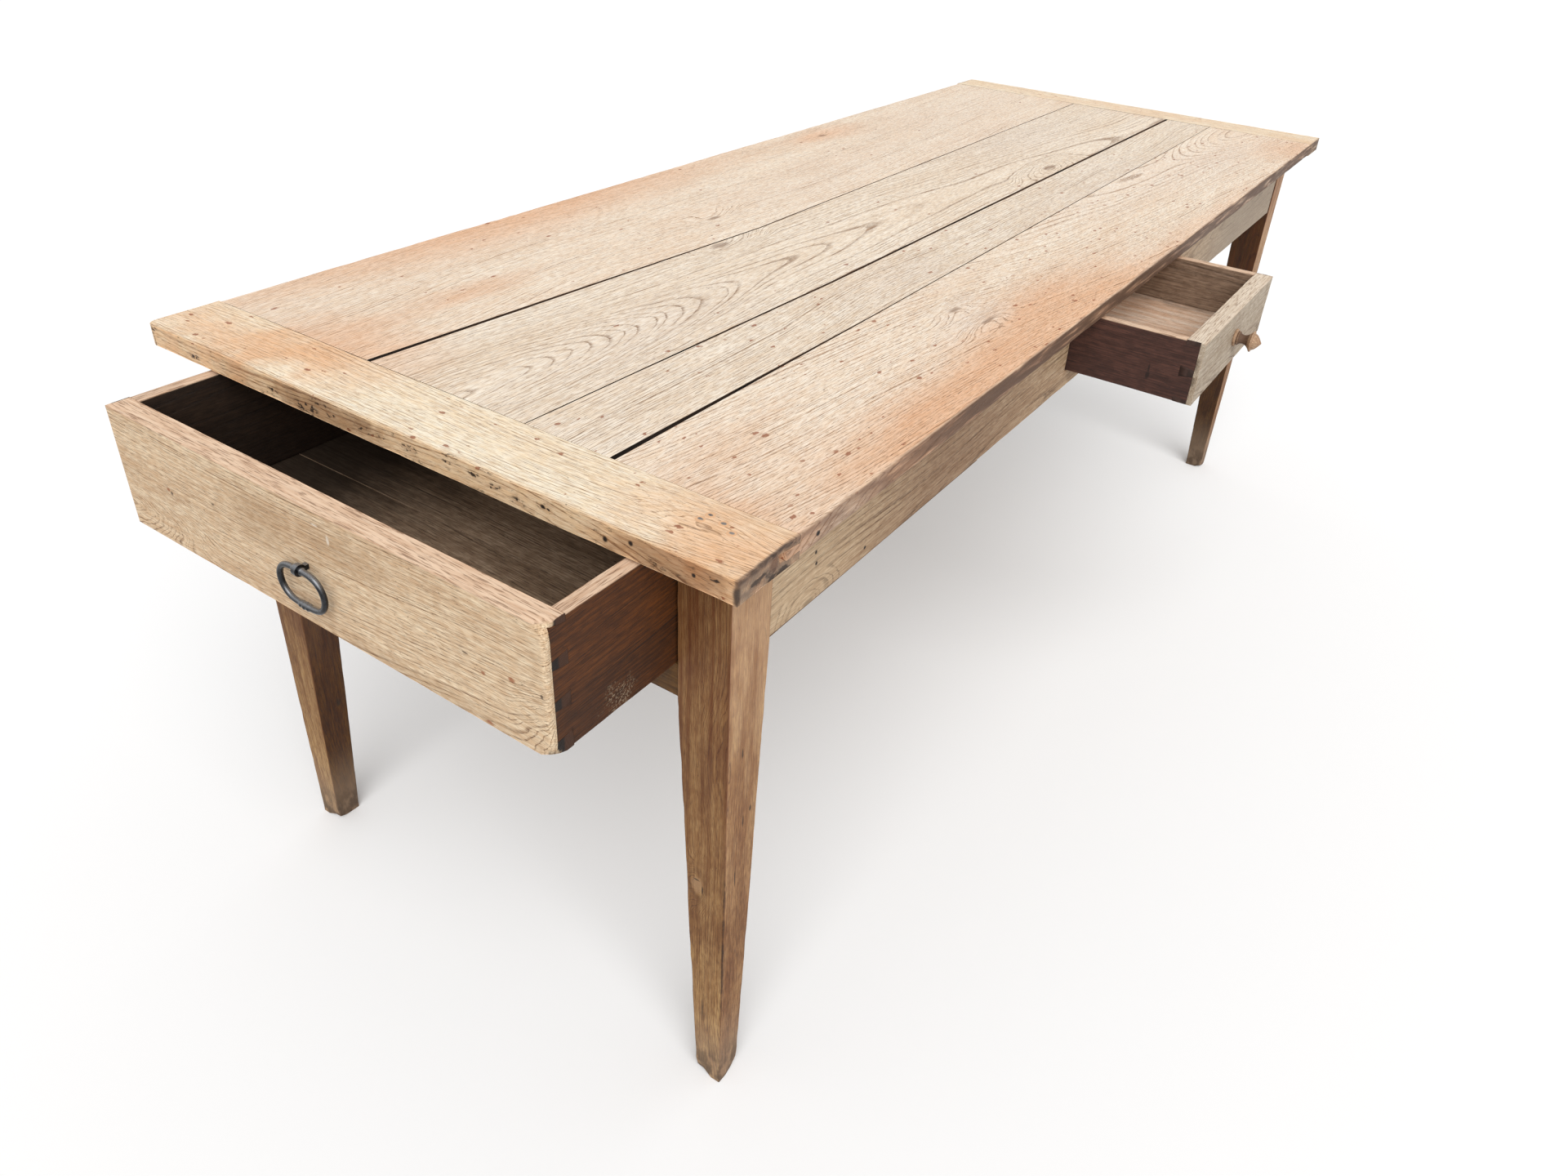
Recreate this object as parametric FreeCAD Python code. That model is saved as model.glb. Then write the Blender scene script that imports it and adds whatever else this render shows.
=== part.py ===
import FreeCAD, Part
import os
from collections import namedtuple

V = FreeCAD.Vector

# Overall table, in millimetres. X runs along the length, near end at minus X, front side at minus Y.
top_length = 2040.0
top_width = 800.0
table_height = 760.0
top_thickness = 24.0
end_overhang = 49.0
side_overhang = 39.0

# Top: two breadboards and four long boards
near_breadboard_width = 88.0
far_breadboard_width = 78.0
near_worn_corner = 13.0
far_worn_corner = 9.0
end_tongue_length = 20.0
end_tongue_thickness = 8.0
edge_tongue_reach = 12.0
edge_tongue_thickness = 7.0
tongue_fit = 0.2
groove_spare = 1.5

# Each joint between two boards: place across the top and width of the drying gap, at the near end,
# at a knee some way along, and at the far end
BoardJoint = namedtuple("BoardJoint", "near_y near_gap knee_from_near knee_y knee_gap far_y far_gap")
board_joints = [
    BoardJoint(141.0, 5.0, 650.0, 103.0, 1.2, 110.0, 0.8),
    BoardJoint(-84.0, 0.6, 530.0, -97.0, 3.2, -101.0, 5.0),
    BoardJoint(-194.0, 6.0, 480.0, -197.0, 1.4, -194.0, 0.8),
]

# Forged nails. Those of the top are inset from the outer corner of the near front leg, along X and Y.
nail_insets = [(7.0, 41.0), (17.0, 38.0), (13.0, 21.0), (5.0, 7.0)]
top_nail_length = 62.0
gear_nail_length = 46.0
bottom_nail_length = 26.0
nail_head_radius = 4.5
nail_head_thickness = 1.5
nail_head_fit = 0.1
nail_shank = 3.6
nail_tip = 1.2

# Legs
leg_section = 62.0
foot_section = 35.0

# Aprons, far rail and drawer rail, tenoned into the legs
apron_below_drawer = 26.7
apron_thickness = 24.0
apron_setback = 2.0
apron_tenon_shoulder = 15.0
drawer_rail_height = 40.0
drawer_rail_thickness = 28.0
drawer_rail_setback = 3.0
drawer_rail_tenon_shoulder = 6.0
tenon_thickness = 10.0
tenon_fit = 0.2
mortise_spare = 2.0
mortise_wall = 7.0

# Glue blocks under the top, along the inner faces of the aprons and the far rail
glue_block_section = 25.0
glue_block_length = 80.0
glue_block_inset = 150.0

# Drawers in general
drawer_run_gap = 0.3
drawer_side_play = 1.5
drawer_lap = 7.0
dovetail_pin = 9.0
dovetail_slope = 1.0 / 6.0
dovetail_above_bottom = 2.0
stop_thickness = 18.0
stop_height = 22.0
gear_nails_each = 3

# End drawer, with the ring pull
end_drawer_height = 136.0
end_drawer_head_gap = 3.0
end_drawer_pulled_out = 157.0
end_front_thickness = 25.0
end_front_rounding = 5.0
end_side_thickness = 16.0
end_back_thickness = 14.0
end_back_inset = 12.0
end_back_housing = 5.0
end_bottom_thickness = 8.0
end_bottom_lift = 1.0
end_bottom_rebate = 8.0
end_bottom_boards = 3
end_bottom_gap = 0.6
end_tails = 3
bottom_nails_each_end = 2

# Runners and guides of the end drawer, which end short of the side drawer's near bearer
end_runner_thickness = 12.0
end_runner_under_side = 27.0
end_runner_housing = 8.0
end_guide_lap = 32.0
end_gear_past_drawer = 40.0
end_gear_to_bearer = 184.0

# Side drawer, with the knob
side_drawer_width = 334.0
side_drawer_height = 85.0
side_drawer_head_gap = 5.0
side_drawer_centre = -40.0
side_drawer_depth = 470.0
side_drawer_pulled_out = 172.0
side_front_thickness = 25.0
side_side_thickness = 12.0
side_back_thickness = 12.0
side_back_inset = 12.0
side_back_housing = 4.0
side_bottom_thickness = 8.0
side_bottom_rise = 8.0
side_bottom_groove = 5.0
side_tails = 2

# Bearers and guides of the side drawer
bearer_height = 24.0
bearer_under_side = 20.0
bearer_housing = 8.0
side_guide_width = 20.0
side_guide_height = 28.0

# Ring pull: an oval ring of round bar, hung in a staple
ring_height = 46.0
ring_straight = 23.0
ring_bar = 6.0
ring_collar_radius = 4.2
ring_collar_play = 1.0
ring_collar_length = 2.5
ring_knuckle_radius = 4.4
ring_knuckle_foot = 2.6
ring_knuckle_length = 16.0
ring_axis_off_front = 9.0
ring_axis_above_middle = 1.0
staple_width = 5.5
staple_bar = 2.6
staple_bore_clearance = 0.4
staple_shank_height = 5.0
staple_clench_length = 15.0
staple_clench_thickness = 2.5

# Knob: collar, neck, round head and pointed cone, with a spigot through the drawer front.
# Places are off the front's face.
knob_length = 36.0
knob_collar_radius = 11.5
knob_collar_length = 5.0
knob_neck_radius = 6.0
knob_neck_at = 13.0
knob_head_radius = 14.5
knob_head_at = 24.0
knob_brow_radius = 13.5
knob_brow_at = 27.0
knob_cone_radius = 11.0
knob_cone_at = 29.0
knob_spigot_radius = 6.5
knob_spigot_fit = 0.1

# Levels and faces that the pieces share
under_top = table_height - top_thickness
leg_out_x = top_length / 2 - end_overhang
leg_out_y = top_width / 2 - side_overhang
leg_in_x = leg_out_x - leg_section
leg_in_y = leg_out_y - leg_section
apron_out_y = leg_out_y - apron_setback
apron_in_y = apron_out_y - apron_thickness

side_drawer_top = under_top - side_drawer_head_gap
side_drawer_bottom = side_drawer_top - side_drawer_height
side_run_level = side_drawer_bottom - drawer_run_gap
side_near_x = side_drawer_centre - side_drawer_width / 2
side_far_x = side_drawer_centre + side_drawer_width / 2
side_front_y = -apron_out_y - side_drawer_pulled_out
side_inner_y = side_front_y + side_front_thickness
side_back_y = side_front_y + side_drawer_depth
apron_bottom = side_run_level - apron_below_drawer

end_drawer_top = under_top - end_drawer_head_gap
end_drawer_bottom = end_drawer_top - end_drawer_height
end_run_level = end_drawer_bottom - drawer_run_gap
drawer_rail_bottom = end_run_level - drawer_rail_height
end_half_width = leg_in_y - drawer_side_play
end_gear_back_x = side_near_x - side_guide_width - end_gear_to_bearer
end_drawer_depth = end_gear_back_x - end_gear_past_drawer + leg_out_x
end_front_x = -leg_out_x - end_drawer_pulled_out
end_inner_x = end_front_x + end_front_thickness
end_back_x = end_front_x + end_drawer_depth

staple_bore = ring_bar / 2 + staple_bore_clearance
staple_eye_radius = staple_bore + staple_bar
ring_axis_x = end_front_x - ring_axis_off_front
ring_axis_z = (end_drawer_top + end_drawer_bottom) / 2 + ring_axis_above_middle

# The origin is on the floor, under the middle of the whole table with its drawers open
middle_x = (ring_axis_x - staple_eye_radius + top_length / 2) / 2
middle_y = (side_front_y - knob_length + top_width / 2) / 2

os.makedirs("parts", exist_ok=True)


def save(name, shape):
    """Writes one piece, moved so that the middle of the whole table is at the origin."""
    placed = shape.copy()
    placed.translate(V(-middle_x, -middle_y, 0))
    placed.exportStep("parts/" + name + ".step")


def block(x, y, z):
    """A square-edged block between two limits on each axis, given in either order."""
    low = V(min(x), min(y), min(z))
    high = V(max(x), max(y), max(z))
    return Part.makeBox(high.x - low.x, high.y - low.y, high.z - low.z, low)


def prism(points, along):
    """A straight prism on a closed outline."""
    return Part.Face(Part.makePolygon(points + points[:1])).extrude(along)


def joined(first, others):
    """One solid from a piece and what is worked on it."""
    return first.multiFuse(others).removeSplitter()


def cut_all(piece, tools):
    return piece.cut(Part.makeCompound(list(tools)))


def upright_edge(shape, x, y):
    """The vertical edge of a block at one corner of its plan."""
    near = 1e-6
    return [e for e in shape.Edges if all(abs(v.X - x) < near and abs(v.Y - y) < near for v in e.Vertexes)]


# Forged nails: a flat round head, flush at the given point, and a tapered square shank
Nail = namedtuple("Nail", "length at towards")


def nail_shape(nail, head_fit=0.0):
    half_shank = nail_shank / 2
    half_tip = nail_tip / 2
    head = Part.makeCylinder(nail_head_radius + head_fit, nail_head_thickness, V(), V(0, 1, 0))
    shank = Part.makeWedge(
        -half_shank, 0, -half_shank, -half_tip, -half_tip,
        half_shank, nail.length, half_shank, half_tip, half_tip)
    shape = joined(head, [shank])
    shape.Placement = FreeCAD.Placement(nail.at, FreeCAD.Rotation(V(0, 1, 0), nail.towards))
    return shape


def driven(piece, nails):
    """The piece with the holes that the nails make in it."""
    return cut_all(piece, [nail_shape(n, nail_head_fit) for n in nails])


def nail_group(nails):
    return Part.makeCompound([nail_shape(n) for n in nails])


# Top: the joint lines between the boards run from the near breadboard to the far one
near_x = -top_length / 2 + near_breadboard_width
far_x = top_length / 2 - far_breadboard_width
tongue_level = under_top + top_thickness / 2


def joint_line(joint, side, shift=0.0):
    """One edge of a joint as points along X: side 1 is its back edge, -1 its front edge."""
    stations = [
        (near_x, joint.near_y, joint.near_gap),
        (near_x + joint.knee_from_near, joint.knee_y, joint.knee_gap),
        (far_x, joint.far_y, joint.far_gap),
    ]
    return [(x, y + side * gap / 2 + shift) for x, y, gap in stations]


def slab(back_edge, front_edge, z):
    """A board between two edges, each given as points along X."""
    outline = [V(x, y, z[0]) for x, y in back_edge + front_edge[::-1]]
    return prism(outline, V(0, 0, z[1] - z[0]))


def tongue_z(thickness, slack=0.0):
    return tongue_level - thickness / 2 - slack, tongue_level + thickness / 2 + slack


def top_board(index):
    """Board 0 is at the back. Each has a tongue at both ends, a groove behind and a tongue in front."""
    back_edge = [(near_x, top_width / 2), (far_x, top_width / 2)]
    front_edge = [(near_x, -top_width / 2), (far_x, -top_width / 2)]
    if index > 0:
        back_edge = joint_line(board_joints[index - 1], -1)
    if index < len(board_joints):
        front_edge = joint_line(board_joints[index], 1)
    board = slab(back_edge, front_edge, (under_top, table_height))
    if index > 0:
        groove_floor = joint_line(board_joints[index - 1], 1, -edge_tongue_reach - groove_spare)
        board = board.cut(slab(back_edge, groove_floor, tongue_z(edge_tongue_thickness, tongue_fit)))
    tongues = []
    for x, outward, end in ((near_x, -1, 0), (far_x, 1, -1)):
        across = (back_edge[end][1], front_edge[end][1])
        tongues.append(block((x, x + outward * end_tongue_length), across, tongue_z(end_tongue_thickness)))
    if index < len(board_joints):
        tongue_tip = joint_line(board_joints[index], 1, -edge_tongue_reach)
        tongues.append(slab(front_edge, tongue_tip, tongue_z(edge_tongue_thickness)))
    return joined(board, tongues)


def breadboard(inner_x, outward, worn_corner):
    """A cross board with a groove for the boards' tongues, its back corner worn round."""
    outer_x = outward * top_length / 2
    across = (-top_width / 2, top_width / 2)
    board = block((inner_x, outer_x), across, (under_top, table_height))
    board = board.makeFillet(worn_corner, upright_edge(board, outer_x, top_width / 2))
    groove_x = (inner_x, inner_x + outward * (end_tongue_length + groove_spare))
    return board.cut(block(groove_x, across, tongue_z(end_tongue_thickness, tongue_fit)))


# Rails: their thickness across, and the tenons at both ends of each
RailTenons = namedtuple("RailTenons", "along shoulder across upright")
outer_tenon_face = apron_setback + (apron_thickness + tenon_thickness) / 2
tenon_length = leg_section - outer_tenon_face - mortise_spare - mortise_wall
back_apron_y = (apron_in_y, apron_out_y)
front_apron_y = (-apron_out_y, -apron_in_y)
far_rail_x = (leg_out_x - apron_setback - apron_thickness, leg_out_x - apron_setback)
drawer_rail_x = (-leg_out_x + drawer_rail_setback, -leg_out_x + drawer_rail_setback + drawer_rail_thickness)
apron_tenon_z = (apron_bottom + apron_tenon_shoulder, under_top - apron_tenon_shoulder)
drawer_tenon_z = (drawer_rail_bottom + drawer_rail_tenon_shoulder, end_run_level - drawer_rail_tenon_shoulder)
front_apron_tenons = RailTenons("x", leg_in_x, front_apron_y, apron_tenon_z)
back_apron_tenons = RailTenons("x", leg_in_x, back_apron_y, apron_tenon_z)
far_rail_tenons = RailTenons("y", leg_in_y, far_rail_x, apron_tenon_z)
drawer_rail_tenons = RailTenons("y", leg_in_y, drawer_rail_x, drawer_tenon_z)


def tenon_pair(rail, slack=0.0, spare=0.0):
    """Both tenons of a rail. Slack and spare turn them into their mortises."""
    middle = sum(rail.across) / 2
    thick = (middle - tenon_thickness / 2 - slack, middle + tenon_thickness / 2 + slack)
    tall = (rail.upright[0] - slack, rail.upright[1] + slack)
    pair = []
    for end in (-1, 1):
        reach = (end * rail.shoulder, end * (rail.shoulder + tenon_length + spare))
        pair.append(block(reach, thick, tall) if rail.along == "x" else block(thick, reach, tall))
    return pair


all_rails = [front_apron_tenons, back_apron_tenons, far_rail_tenons, drawer_rail_tenons]
mortises = [m for rail in all_rails for m in tenon_pair(rail, tenon_fit, mortise_spare)]


def leg(end, side):
    """Square at the top, tapered on its two inner faces from the rails down to the foot.
    End is -1 at the near end and 1 at the far one, side -1 at the front and 1 at the back."""
    in_x = end * leg_in_x
    in_y = side * leg_in_y
    foot_x = end * (leg_out_x - foot_section)
    foot_y = side * (leg_out_y - foot_section)
    straight_to = drawer_rail_bottom if end < 0 else apron_bottom
    shape = block((in_x, end * leg_out_x), (in_y, side * leg_out_y), (0, under_top))
    below_apron = [V(in_x, in_y, apron_bottom), V(foot_x, in_y, 0), V(in_x, in_y, 0)]
    below_end_rail = [V(in_x, in_y, straight_to), V(in_x, foot_y, 0), V(in_x, in_y, 0)]
    shape = shape.cut(prism(below_apron, V(0, side * leg_section, 0)))
    shape = shape.cut(prism(below_end_rail, V(end * leg_section, 0, 0)))
    return cut_all(shape, mortises)


# Side drawer bearers, from apron to apron under each side of the drawer, with a guide on each
bearers = {}
side_guides = {}
side_stop_blocks = []
side_stop_y = -apron_out_y + side_drawer_depth + drawer_run_gap
side_ends = {"near": (side_near_x, -1), "far": (side_far_x, 1)}
for place, (side_x, outward) in side_ends.items():
    under_x = side_x - outward * bearer_under_side
    outer_x = side_x + outward * side_guide_width
    bearer_reach = apron_in_y + bearer_housing
    bearers[place] = block(
        (under_x, outer_x), (-bearer_reach, bearer_reach), (side_run_level - bearer_height, side_run_level))
    side_guides[place] = block(
        (side_x + outward * drawer_side_play, outer_x), (-apron_in_y, apron_in_y),
        (side_run_level, side_run_level + side_guide_height))
    side_stop_blocks.append(block(
        (under_x, side_x), (side_stop_y, side_stop_y + stop_thickness),
        (side_run_level, side_run_level + stop_height)))

# Aprons and far rail, with the opening for the side drawer cut down from the top of the front apron
apron_z = (apron_bottom, under_top)
between_legs_x = (-leg_in_x, leg_in_x)
between_legs_y = (-leg_in_y, leg_in_y)
back_apron = joined(block(between_legs_x, back_apron_y, apron_z), tenon_pair(back_apron_tenons))
front_apron = joined(block(between_legs_x, front_apron_y, apron_z), tenon_pair(front_apron_tenons))
opening_x = (side_near_x - drawer_side_play, side_far_x + drawer_side_play)
front_apron = front_apron.cut(block(opening_x, front_apron_y, (side_run_level, under_top)))
front_apron = cut_all(front_apron, bearers.values())
back_apron = cut_all(back_apron, bearers.values())
far_end_rail = joined(block(far_rail_x, between_legs_y, apron_z), tenon_pair(far_rail_tenons))

# Drawer rail and end drawer gear: a guide on each apron, and a runner on the guide, housed in the rail
drawer_rail_z = (drawer_rail_bottom, end_run_level)
drawer_rail = joined(block(drawer_rail_x, between_legs_y, drawer_rail_z), tenon_pair(drawer_rail_tenons))
end_runner_z = (end_run_level - end_runner_thickness, end_run_level)
end_runner_x = (drawer_rail_x[1] - end_runner_housing, end_gear_back_x)
end_runner_in_y = end_half_width - end_runner_under_side
end_stop_x = -leg_out_x + end_drawer_depth + drawer_run_gap
end_runners = {}
end_guides = {}
end_stop_blocks = []
long_sides = {"front": -1, "back": 1}
for place, side in long_sides.items():
    runner_y = (side * end_runner_in_y, side * leg_in_y)
    end_runners[place] = block(end_runner_x, runner_y, end_runner_z)
    end_guides[place] = block(
        (-leg_in_x, end_gear_back_x), (side * leg_in_y, side * apron_in_y),
        (end_runner_z[0], apron_bottom + end_guide_lap))
    end_stop_blocks.append(block(
        (end_stop_x, end_stop_x + stop_thickness), runner_y, (end_run_level, end_run_level + stop_height)))
drawer_rail = cut_all(drawer_rail, end_runners.values())

# Nails of the gear: guides to aprons, runners to guides, side guides to bearers
gear_nails = []
for i in range(gear_nails_each):
    share = (i + 0.5) / gear_nails_each
    along_x = -leg_in_x + share * (end_gear_back_x + leg_in_x)
    along_y = (2 * share - 1) * apron_in_y
    for side in long_sides.values():
        through_guide = V(along_x, side * leg_in_y, apron_bottom + end_guide_lap / 2)
        through_runner = V(along_x, side * end_runner_in_y, sum(end_runner_z) / 2)
        gear_nails.append(Nail(gear_nail_length, through_guide, V(0, side, 0)))
        gear_nails.append(Nail(gear_nail_length, through_runner, V(0, side, 0)))
    for side_x, outward in side_ends.values():
        guide_x = side_x + outward * (drawer_side_play + side_guide_width) / 2
        into_bearer = V(guide_x, along_y, side_run_level + side_guide_height)
        gear_nails.append(Nail(gear_nail_length, into_bearer, V(0, 0, -1)))

# Glue blocks, in the corner between the top and each long apron and along the far rail
glue_blocks = []
glue_z = (under_top - glue_block_section, under_top)
half_block = glue_block_length / 2
for end in (-1, 1):
    x = end * (leg_in_x - glue_block_inset)
    y = end * (leg_in_y - glue_block_inset)
    for side in long_sides.values():
        from_apron = (side * apron_in_y, side * (apron_in_y - glue_block_section))
        glue_blocks.append(block((x - half_block, x + half_block), from_apron, glue_z))
    from_far_rail = (far_rail_x[0] - glue_block_section, far_rail_x[0])
    glue_blocks.append(block(from_far_rail, (y - half_block, y + half_block), glue_z))

# Frame and top, with the nails driven
top_nails = [
    Nail(top_nail_length, V(-leg_out_x + dx, -leg_out_y + dy, table_height), V(0, 0, -1))
    for dx, dy in nail_insets
]
save("near_breadboard", driven(breadboard(near_x, -1, near_worn_corner), top_nails))
save("far_breadboard", breadboard(far_x, 1, far_worn_corner))
for index in range(len(board_joints) + 1):
    save("top_board_%d" % (index + 1), driven(top_board(index), top_nails))
save("top_nails", nail_group(top_nails))
save("top_glue_blocks", Part.makeCompound(glue_blocks))
for end_name, end in (("near", -1), ("far", 1)):
    for place, side in long_sides.items():
        save("%s_%s_leg" % (end_name, place), driven(leg(end, side), top_nails))
save("front_apron", driven(front_apron, gear_nails))
save("back_apron", driven(back_apron, gear_nails))
save("far_end_rail", far_end_rail)
save("drawer_rail", drawer_rail)
for place in long_sides:
    save("end_drawer_runner_" + place, driven(end_runners[place], gear_nails))
    save("end_drawer_guide_" + place, driven(end_guides[place], gear_nails))
for place in side_ends:
    save("side_drawer_bearer_" + place, driven(bearers[place], gear_nails))
    save("side_drawer_guide_" + place, driven(side_guides[place], gear_nails))
save("end_drawer_stops", Part.makeCompound(end_stop_blocks))
save("side_drawer_stops", Part.makeCompound(side_stop_blocks))
save("gear_nails", nail_group(gear_nails))


def dovetails(count, base, tip, z, place):
    """Tails that widen from base to tip. Place makes a solid of an outline of depths and heights."""
    pitch = (z[1] - z[0]) / count
    tip_half = (pitch - dovetail_pin) / 2
    base_half = tip_half - abs(base - tip) * dovetail_slope
    made = []
    for i in range(count):
        middle = z[0] + pitch * (i + 0.5)
        made.append(place([
            (base, middle - base_half),
            (base, middle + base_half),
            (tip, middle + tip_half),
            (tip, middle - tip_half),
        ]))
    return made


# End drawer: lapped dovetails at the front, back housed in the sides, bottom boards nailed in rebates
end_z = (end_drawer_bottom, end_drawer_top)
end_bottom_low = end_drawer_bottom + end_bottom_lift
end_bottom_z = (end_bottom_low, end_bottom_low + end_bottom_thickness)
end_side_in_y = end_half_width - end_side_thickness
end_bottom_half = end_side_in_y + end_bottom_rebate
end_bottom_y = (-end_bottom_half, end_bottom_half)
bottom_start_x = end_inner_x - end_bottom_rebate
bottom_pitch = (end_back_x - bottom_start_x + end_bottom_gap) / end_bottom_boards
bottom_width = bottom_pitch - end_bottom_gap
end_bottoms = []
end_nails = []
for i in range(end_bottom_boards):
    board_x = bottom_start_x + i * bottom_pitch
    end_bottoms.append(block((board_x, board_x + bottom_width), end_bottom_y, end_bottom_z))
    for n in range(bottom_nails_each_end):
        nail_x = board_x + bottom_width * (n + 0.5) / bottom_nails_each_end
        for side in long_sides.values():
            through_bottom = V(nail_x, side * (end_side_in_y + end_bottom_rebate / 2), end_bottom_z[0])
            end_nails.append(Nail(bottom_nail_length, through_bottom, V(0, 0, 1)))
rebate = block((bottom_start_x, end_back_x), end_bottom_y, (end_drawer_bottom, end_bottom_z[1]))

end_back_reach = end_side_in_y + end_back_housing
end_back = block(
    (end_back_x - end_back_inset - end_back_thickness, end_back_x - end_back_inset),
    (-end_back_reach, end_back_reach), (end_bottom_z[1], end_drawer_top))

end_front = block((end_front_x, end_inner_x), (-end_half_width, end_half_width), end_z)
end_front = end_front.makeFillet(end_front_rounding, upright_edge(end_front, end_front_x, -end_half_width))
end_front = end_front.cut(rebate)
end_tail_z = (end_bottom_z[1] + dovetail_above_bottom, end_drawer_top)
for place, side in long_sides.items():
    def side_solid(outline):
        corners = [V(x, side * end_side_in_y, z) for x, z in outline]
        return prism(corners, V(0, side * end_side_thickness, 0))
    tails = dovetails(end_tails, end_inner_x, end_front_x + drawer_lap, end_tail_z, side_solid)
    end_front = cut_all(end_front, tails)
    board = block((end_inner_x, end_back_x), (side * end_side_in_y, side * end_half_width), end_z)
    board = cut_all(joined(board, tails), [rebate, end_back])
    save("end_drawer_side_" + place, driven(board, end_nails))
save("end_drawer_back", driven(end_back, end_nails))
for i, board in enumerate(end_bottoms):
    save("end_drawer_bottom_%d" % (i + 1), driven(board, end_nails))
save("end_drawer_nails", nail_group(end_nails))

# Staple: an eye for the ring, a shank through the drawer front, its ends clenched on the inside
staple_y = (-staple_width / 2, staple_width / 2)
eye_start = V(ring_axis_x, -staple_width / 2, ring_axis_z)
shank_z = (ring_axis_z - staple_shank_height / 2, ring_axis_z + staple_shank_height / 2)
clench_x = (end_inner_x, end_inner_x + staple_clench_thickness)
clench_z = (ring_axis_z - staple_clench_length, ring_axis_z + staple_clench_length)
staple = joined(Part.makeCylinder(staple_eye_radius, staple_width, eye_start, V(0, 1, 0)), [
    block((ring_axis_x, clench_x[1]), staple_y, shank_z),
    block(clench_x, staple_y, clench_z),
])
staple = staple.cut(Part.makeCylinder(staple_bore, staple_width, eye_start, V(0, 1, 0)))
save("ring_staple", staple)
save("end_drawer_front", end_front.cut(block((end_front_x, end_inner_x), staple_y, shank_z)))

# Ring: straight in the eye and at the foot, round at both sides, with two collars and a knuckle
bar_radius = ring_bar / 2
bend_radius = (ring_height - ring_bar) / 2
half_straight = ring_straight / 2
across = V(0, 1, 0)


def ring_point(y, z):
    return V(ring_axis_x, y, ring_axis_z + z)


ring_pieces = []
for side in (-1, 1):
    section = Part.Face(Part.Wire(Part.makeCircle(bar_radius, ring_point(side * half_straight, 0), across)))
    ring_pieces.append(section.revolve(ring_point(side * half_straight, -bend_radius), V(-side, 0, 0), 180))
    collar_y = staple_width / 2 + ring_collar_play + (ring_collar_length if side < 0 else 0)
    collar_start = ring_point(side * collar_y, 0)
    ring_pieces.append(Part.makeCylinder(ring_collar_radius, ring_collar_length, collar_start, across))
    knuckle_foot = ring_point(side * ring_knuckle_length / 2, -2 * bend_radius)
    ring_pieces.append(Part.makeCone(
        ring_knuckle_foot, ring_knuckle_radius, ring_knuckle_length / 2, knuckle_foot, V(0, -side, 0)))
foot_start = ring_point(-half_straight, -2 * bend_radius)
ring_pieces.append(Part.makeCylinder(bar_radius, ring_straight, foot_start, across))
hinge_bar = Part.makeCylinder(bar_radius, ring_straight, ring_point(-half_straight, 0), across)
save("pull_ring", joined(hinge_bar, ring_pieces))

# Side drawer: lapped dovetails at the front, back housed in the sides, bottom in grooves under the back
side_z = (side_drawer_bottom, side_drawer_top)
side_bottom_low = side_drawer_bottom + side_bottom_rise
side_bottom_z = (side_bottom_low, side_bottom_low + side_bottom_thickness)
bottom_inset = side_side_thickness - side_bottom_groove
back_inset = side_side_thickness - side_back_housing
side_bottom = block(
    (side_near_x + bottom_inset, side_far_x - bottom_inset),
    (side_inner_y - side_bottom_groove, side_back_y), side_bottom_z)
side_back_end_y = side_back_y - side_back_inset
side_back = block(
    (side_near_x + back_inset, side_far_x - back_inset),
    (side_back_end_y - side_back_thickness, side_back_end_y), (side_bottom_z[1], side_drawer_top))
side_nails = []
for side_x, outward in side_ends.values():
    nail_y = side_back_end_y - side_back_thickness / 2
    into_back = V((side_x + side_drawer_centre) / 2, nail_y, side_bottom_low)
    side_nails.append(Nail(bottom_nail_length, into_back, V(0, 0, 1)))

side_front = block((side_near_x, side_far_x), (side_front_y, side_inner_y), side_z).cut(side_bottom)
for place, (side_x, outward) in side_ends.items():
    def end_solid(outline):
        corners = [V(side_x, y, z) for y, z in outline]
        return prism(corners, V(-outward * side_side_thickness, 0, 0))
    tails = dovetails(side_tails, side_inner_y, side_front_y + drawer_lap, side_z, end_solid)
    side_front = cut_all(side_front, tails)
    board = block((side_x, side_x - outward * side_side_thickness), (side_inner_y, side_back_y), side_z)
    save("side_drawer_side_" + place, cut_all(joined(board, tails), [side_bottom, side_back]))
save("side_drawer_bottom", driven(side_bottom, side_nails))
save("side_drawer_back", driven(side_back, side_nails))
save("side_drawer_nails", nail_group(side_nails))

# Knob, turned about the axis of its spigot at the middle of the drawer front
knob_z = (side_drawer_top + side_drawer_bottom) / 2


def turned(radius, off_face):
    return V(side_drawer_centre + radius, side_front_y - off_face, knob_z)


collar_edge = turned(knob_collar_radius, knob_collar_length)
head_rim = turned(knob_head_radius, knob_head_at)
cone_edge = turned(knob_cone_radius, knob_cone_at)
outline = Part.makePolygon([
    cone_edge,
    turned(0, knob_length),
    turned(0, -side_front_thickness),
    turned(knob_spigot_radius, -side_front_thickness),
    turned(knob_spigot_radius, 0),
    turned(knob_collar_radius, 0),
    collar_edge,
]).Edges
outline.append(Part.Arc(collar_edge, turned(knob_neck_radius, knob_neck_at), head_rim).toShape())
outline.append(Part.Arc(head_rim, turned(knob_brow_radius, knob_brow_at), cone_edge).toShape())
save("side_drawer_knob", Part.Face(Part.Wire(outline)).revolve(turned(0, 0), V(0, 1, 0), 360))
spigot_hole = Part.makeCylinder(
    knob_spigot_radius + knob_spigot_fit, side_front_thickness, turned(0, 0), V(0, 1, 0))
save("side_drawer_front", side_front.cut(spigot_hole))
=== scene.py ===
import math
from collections import namedtuple

import bmesh
import bpy
from mathutils import Matrix, Vector, noise


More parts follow.
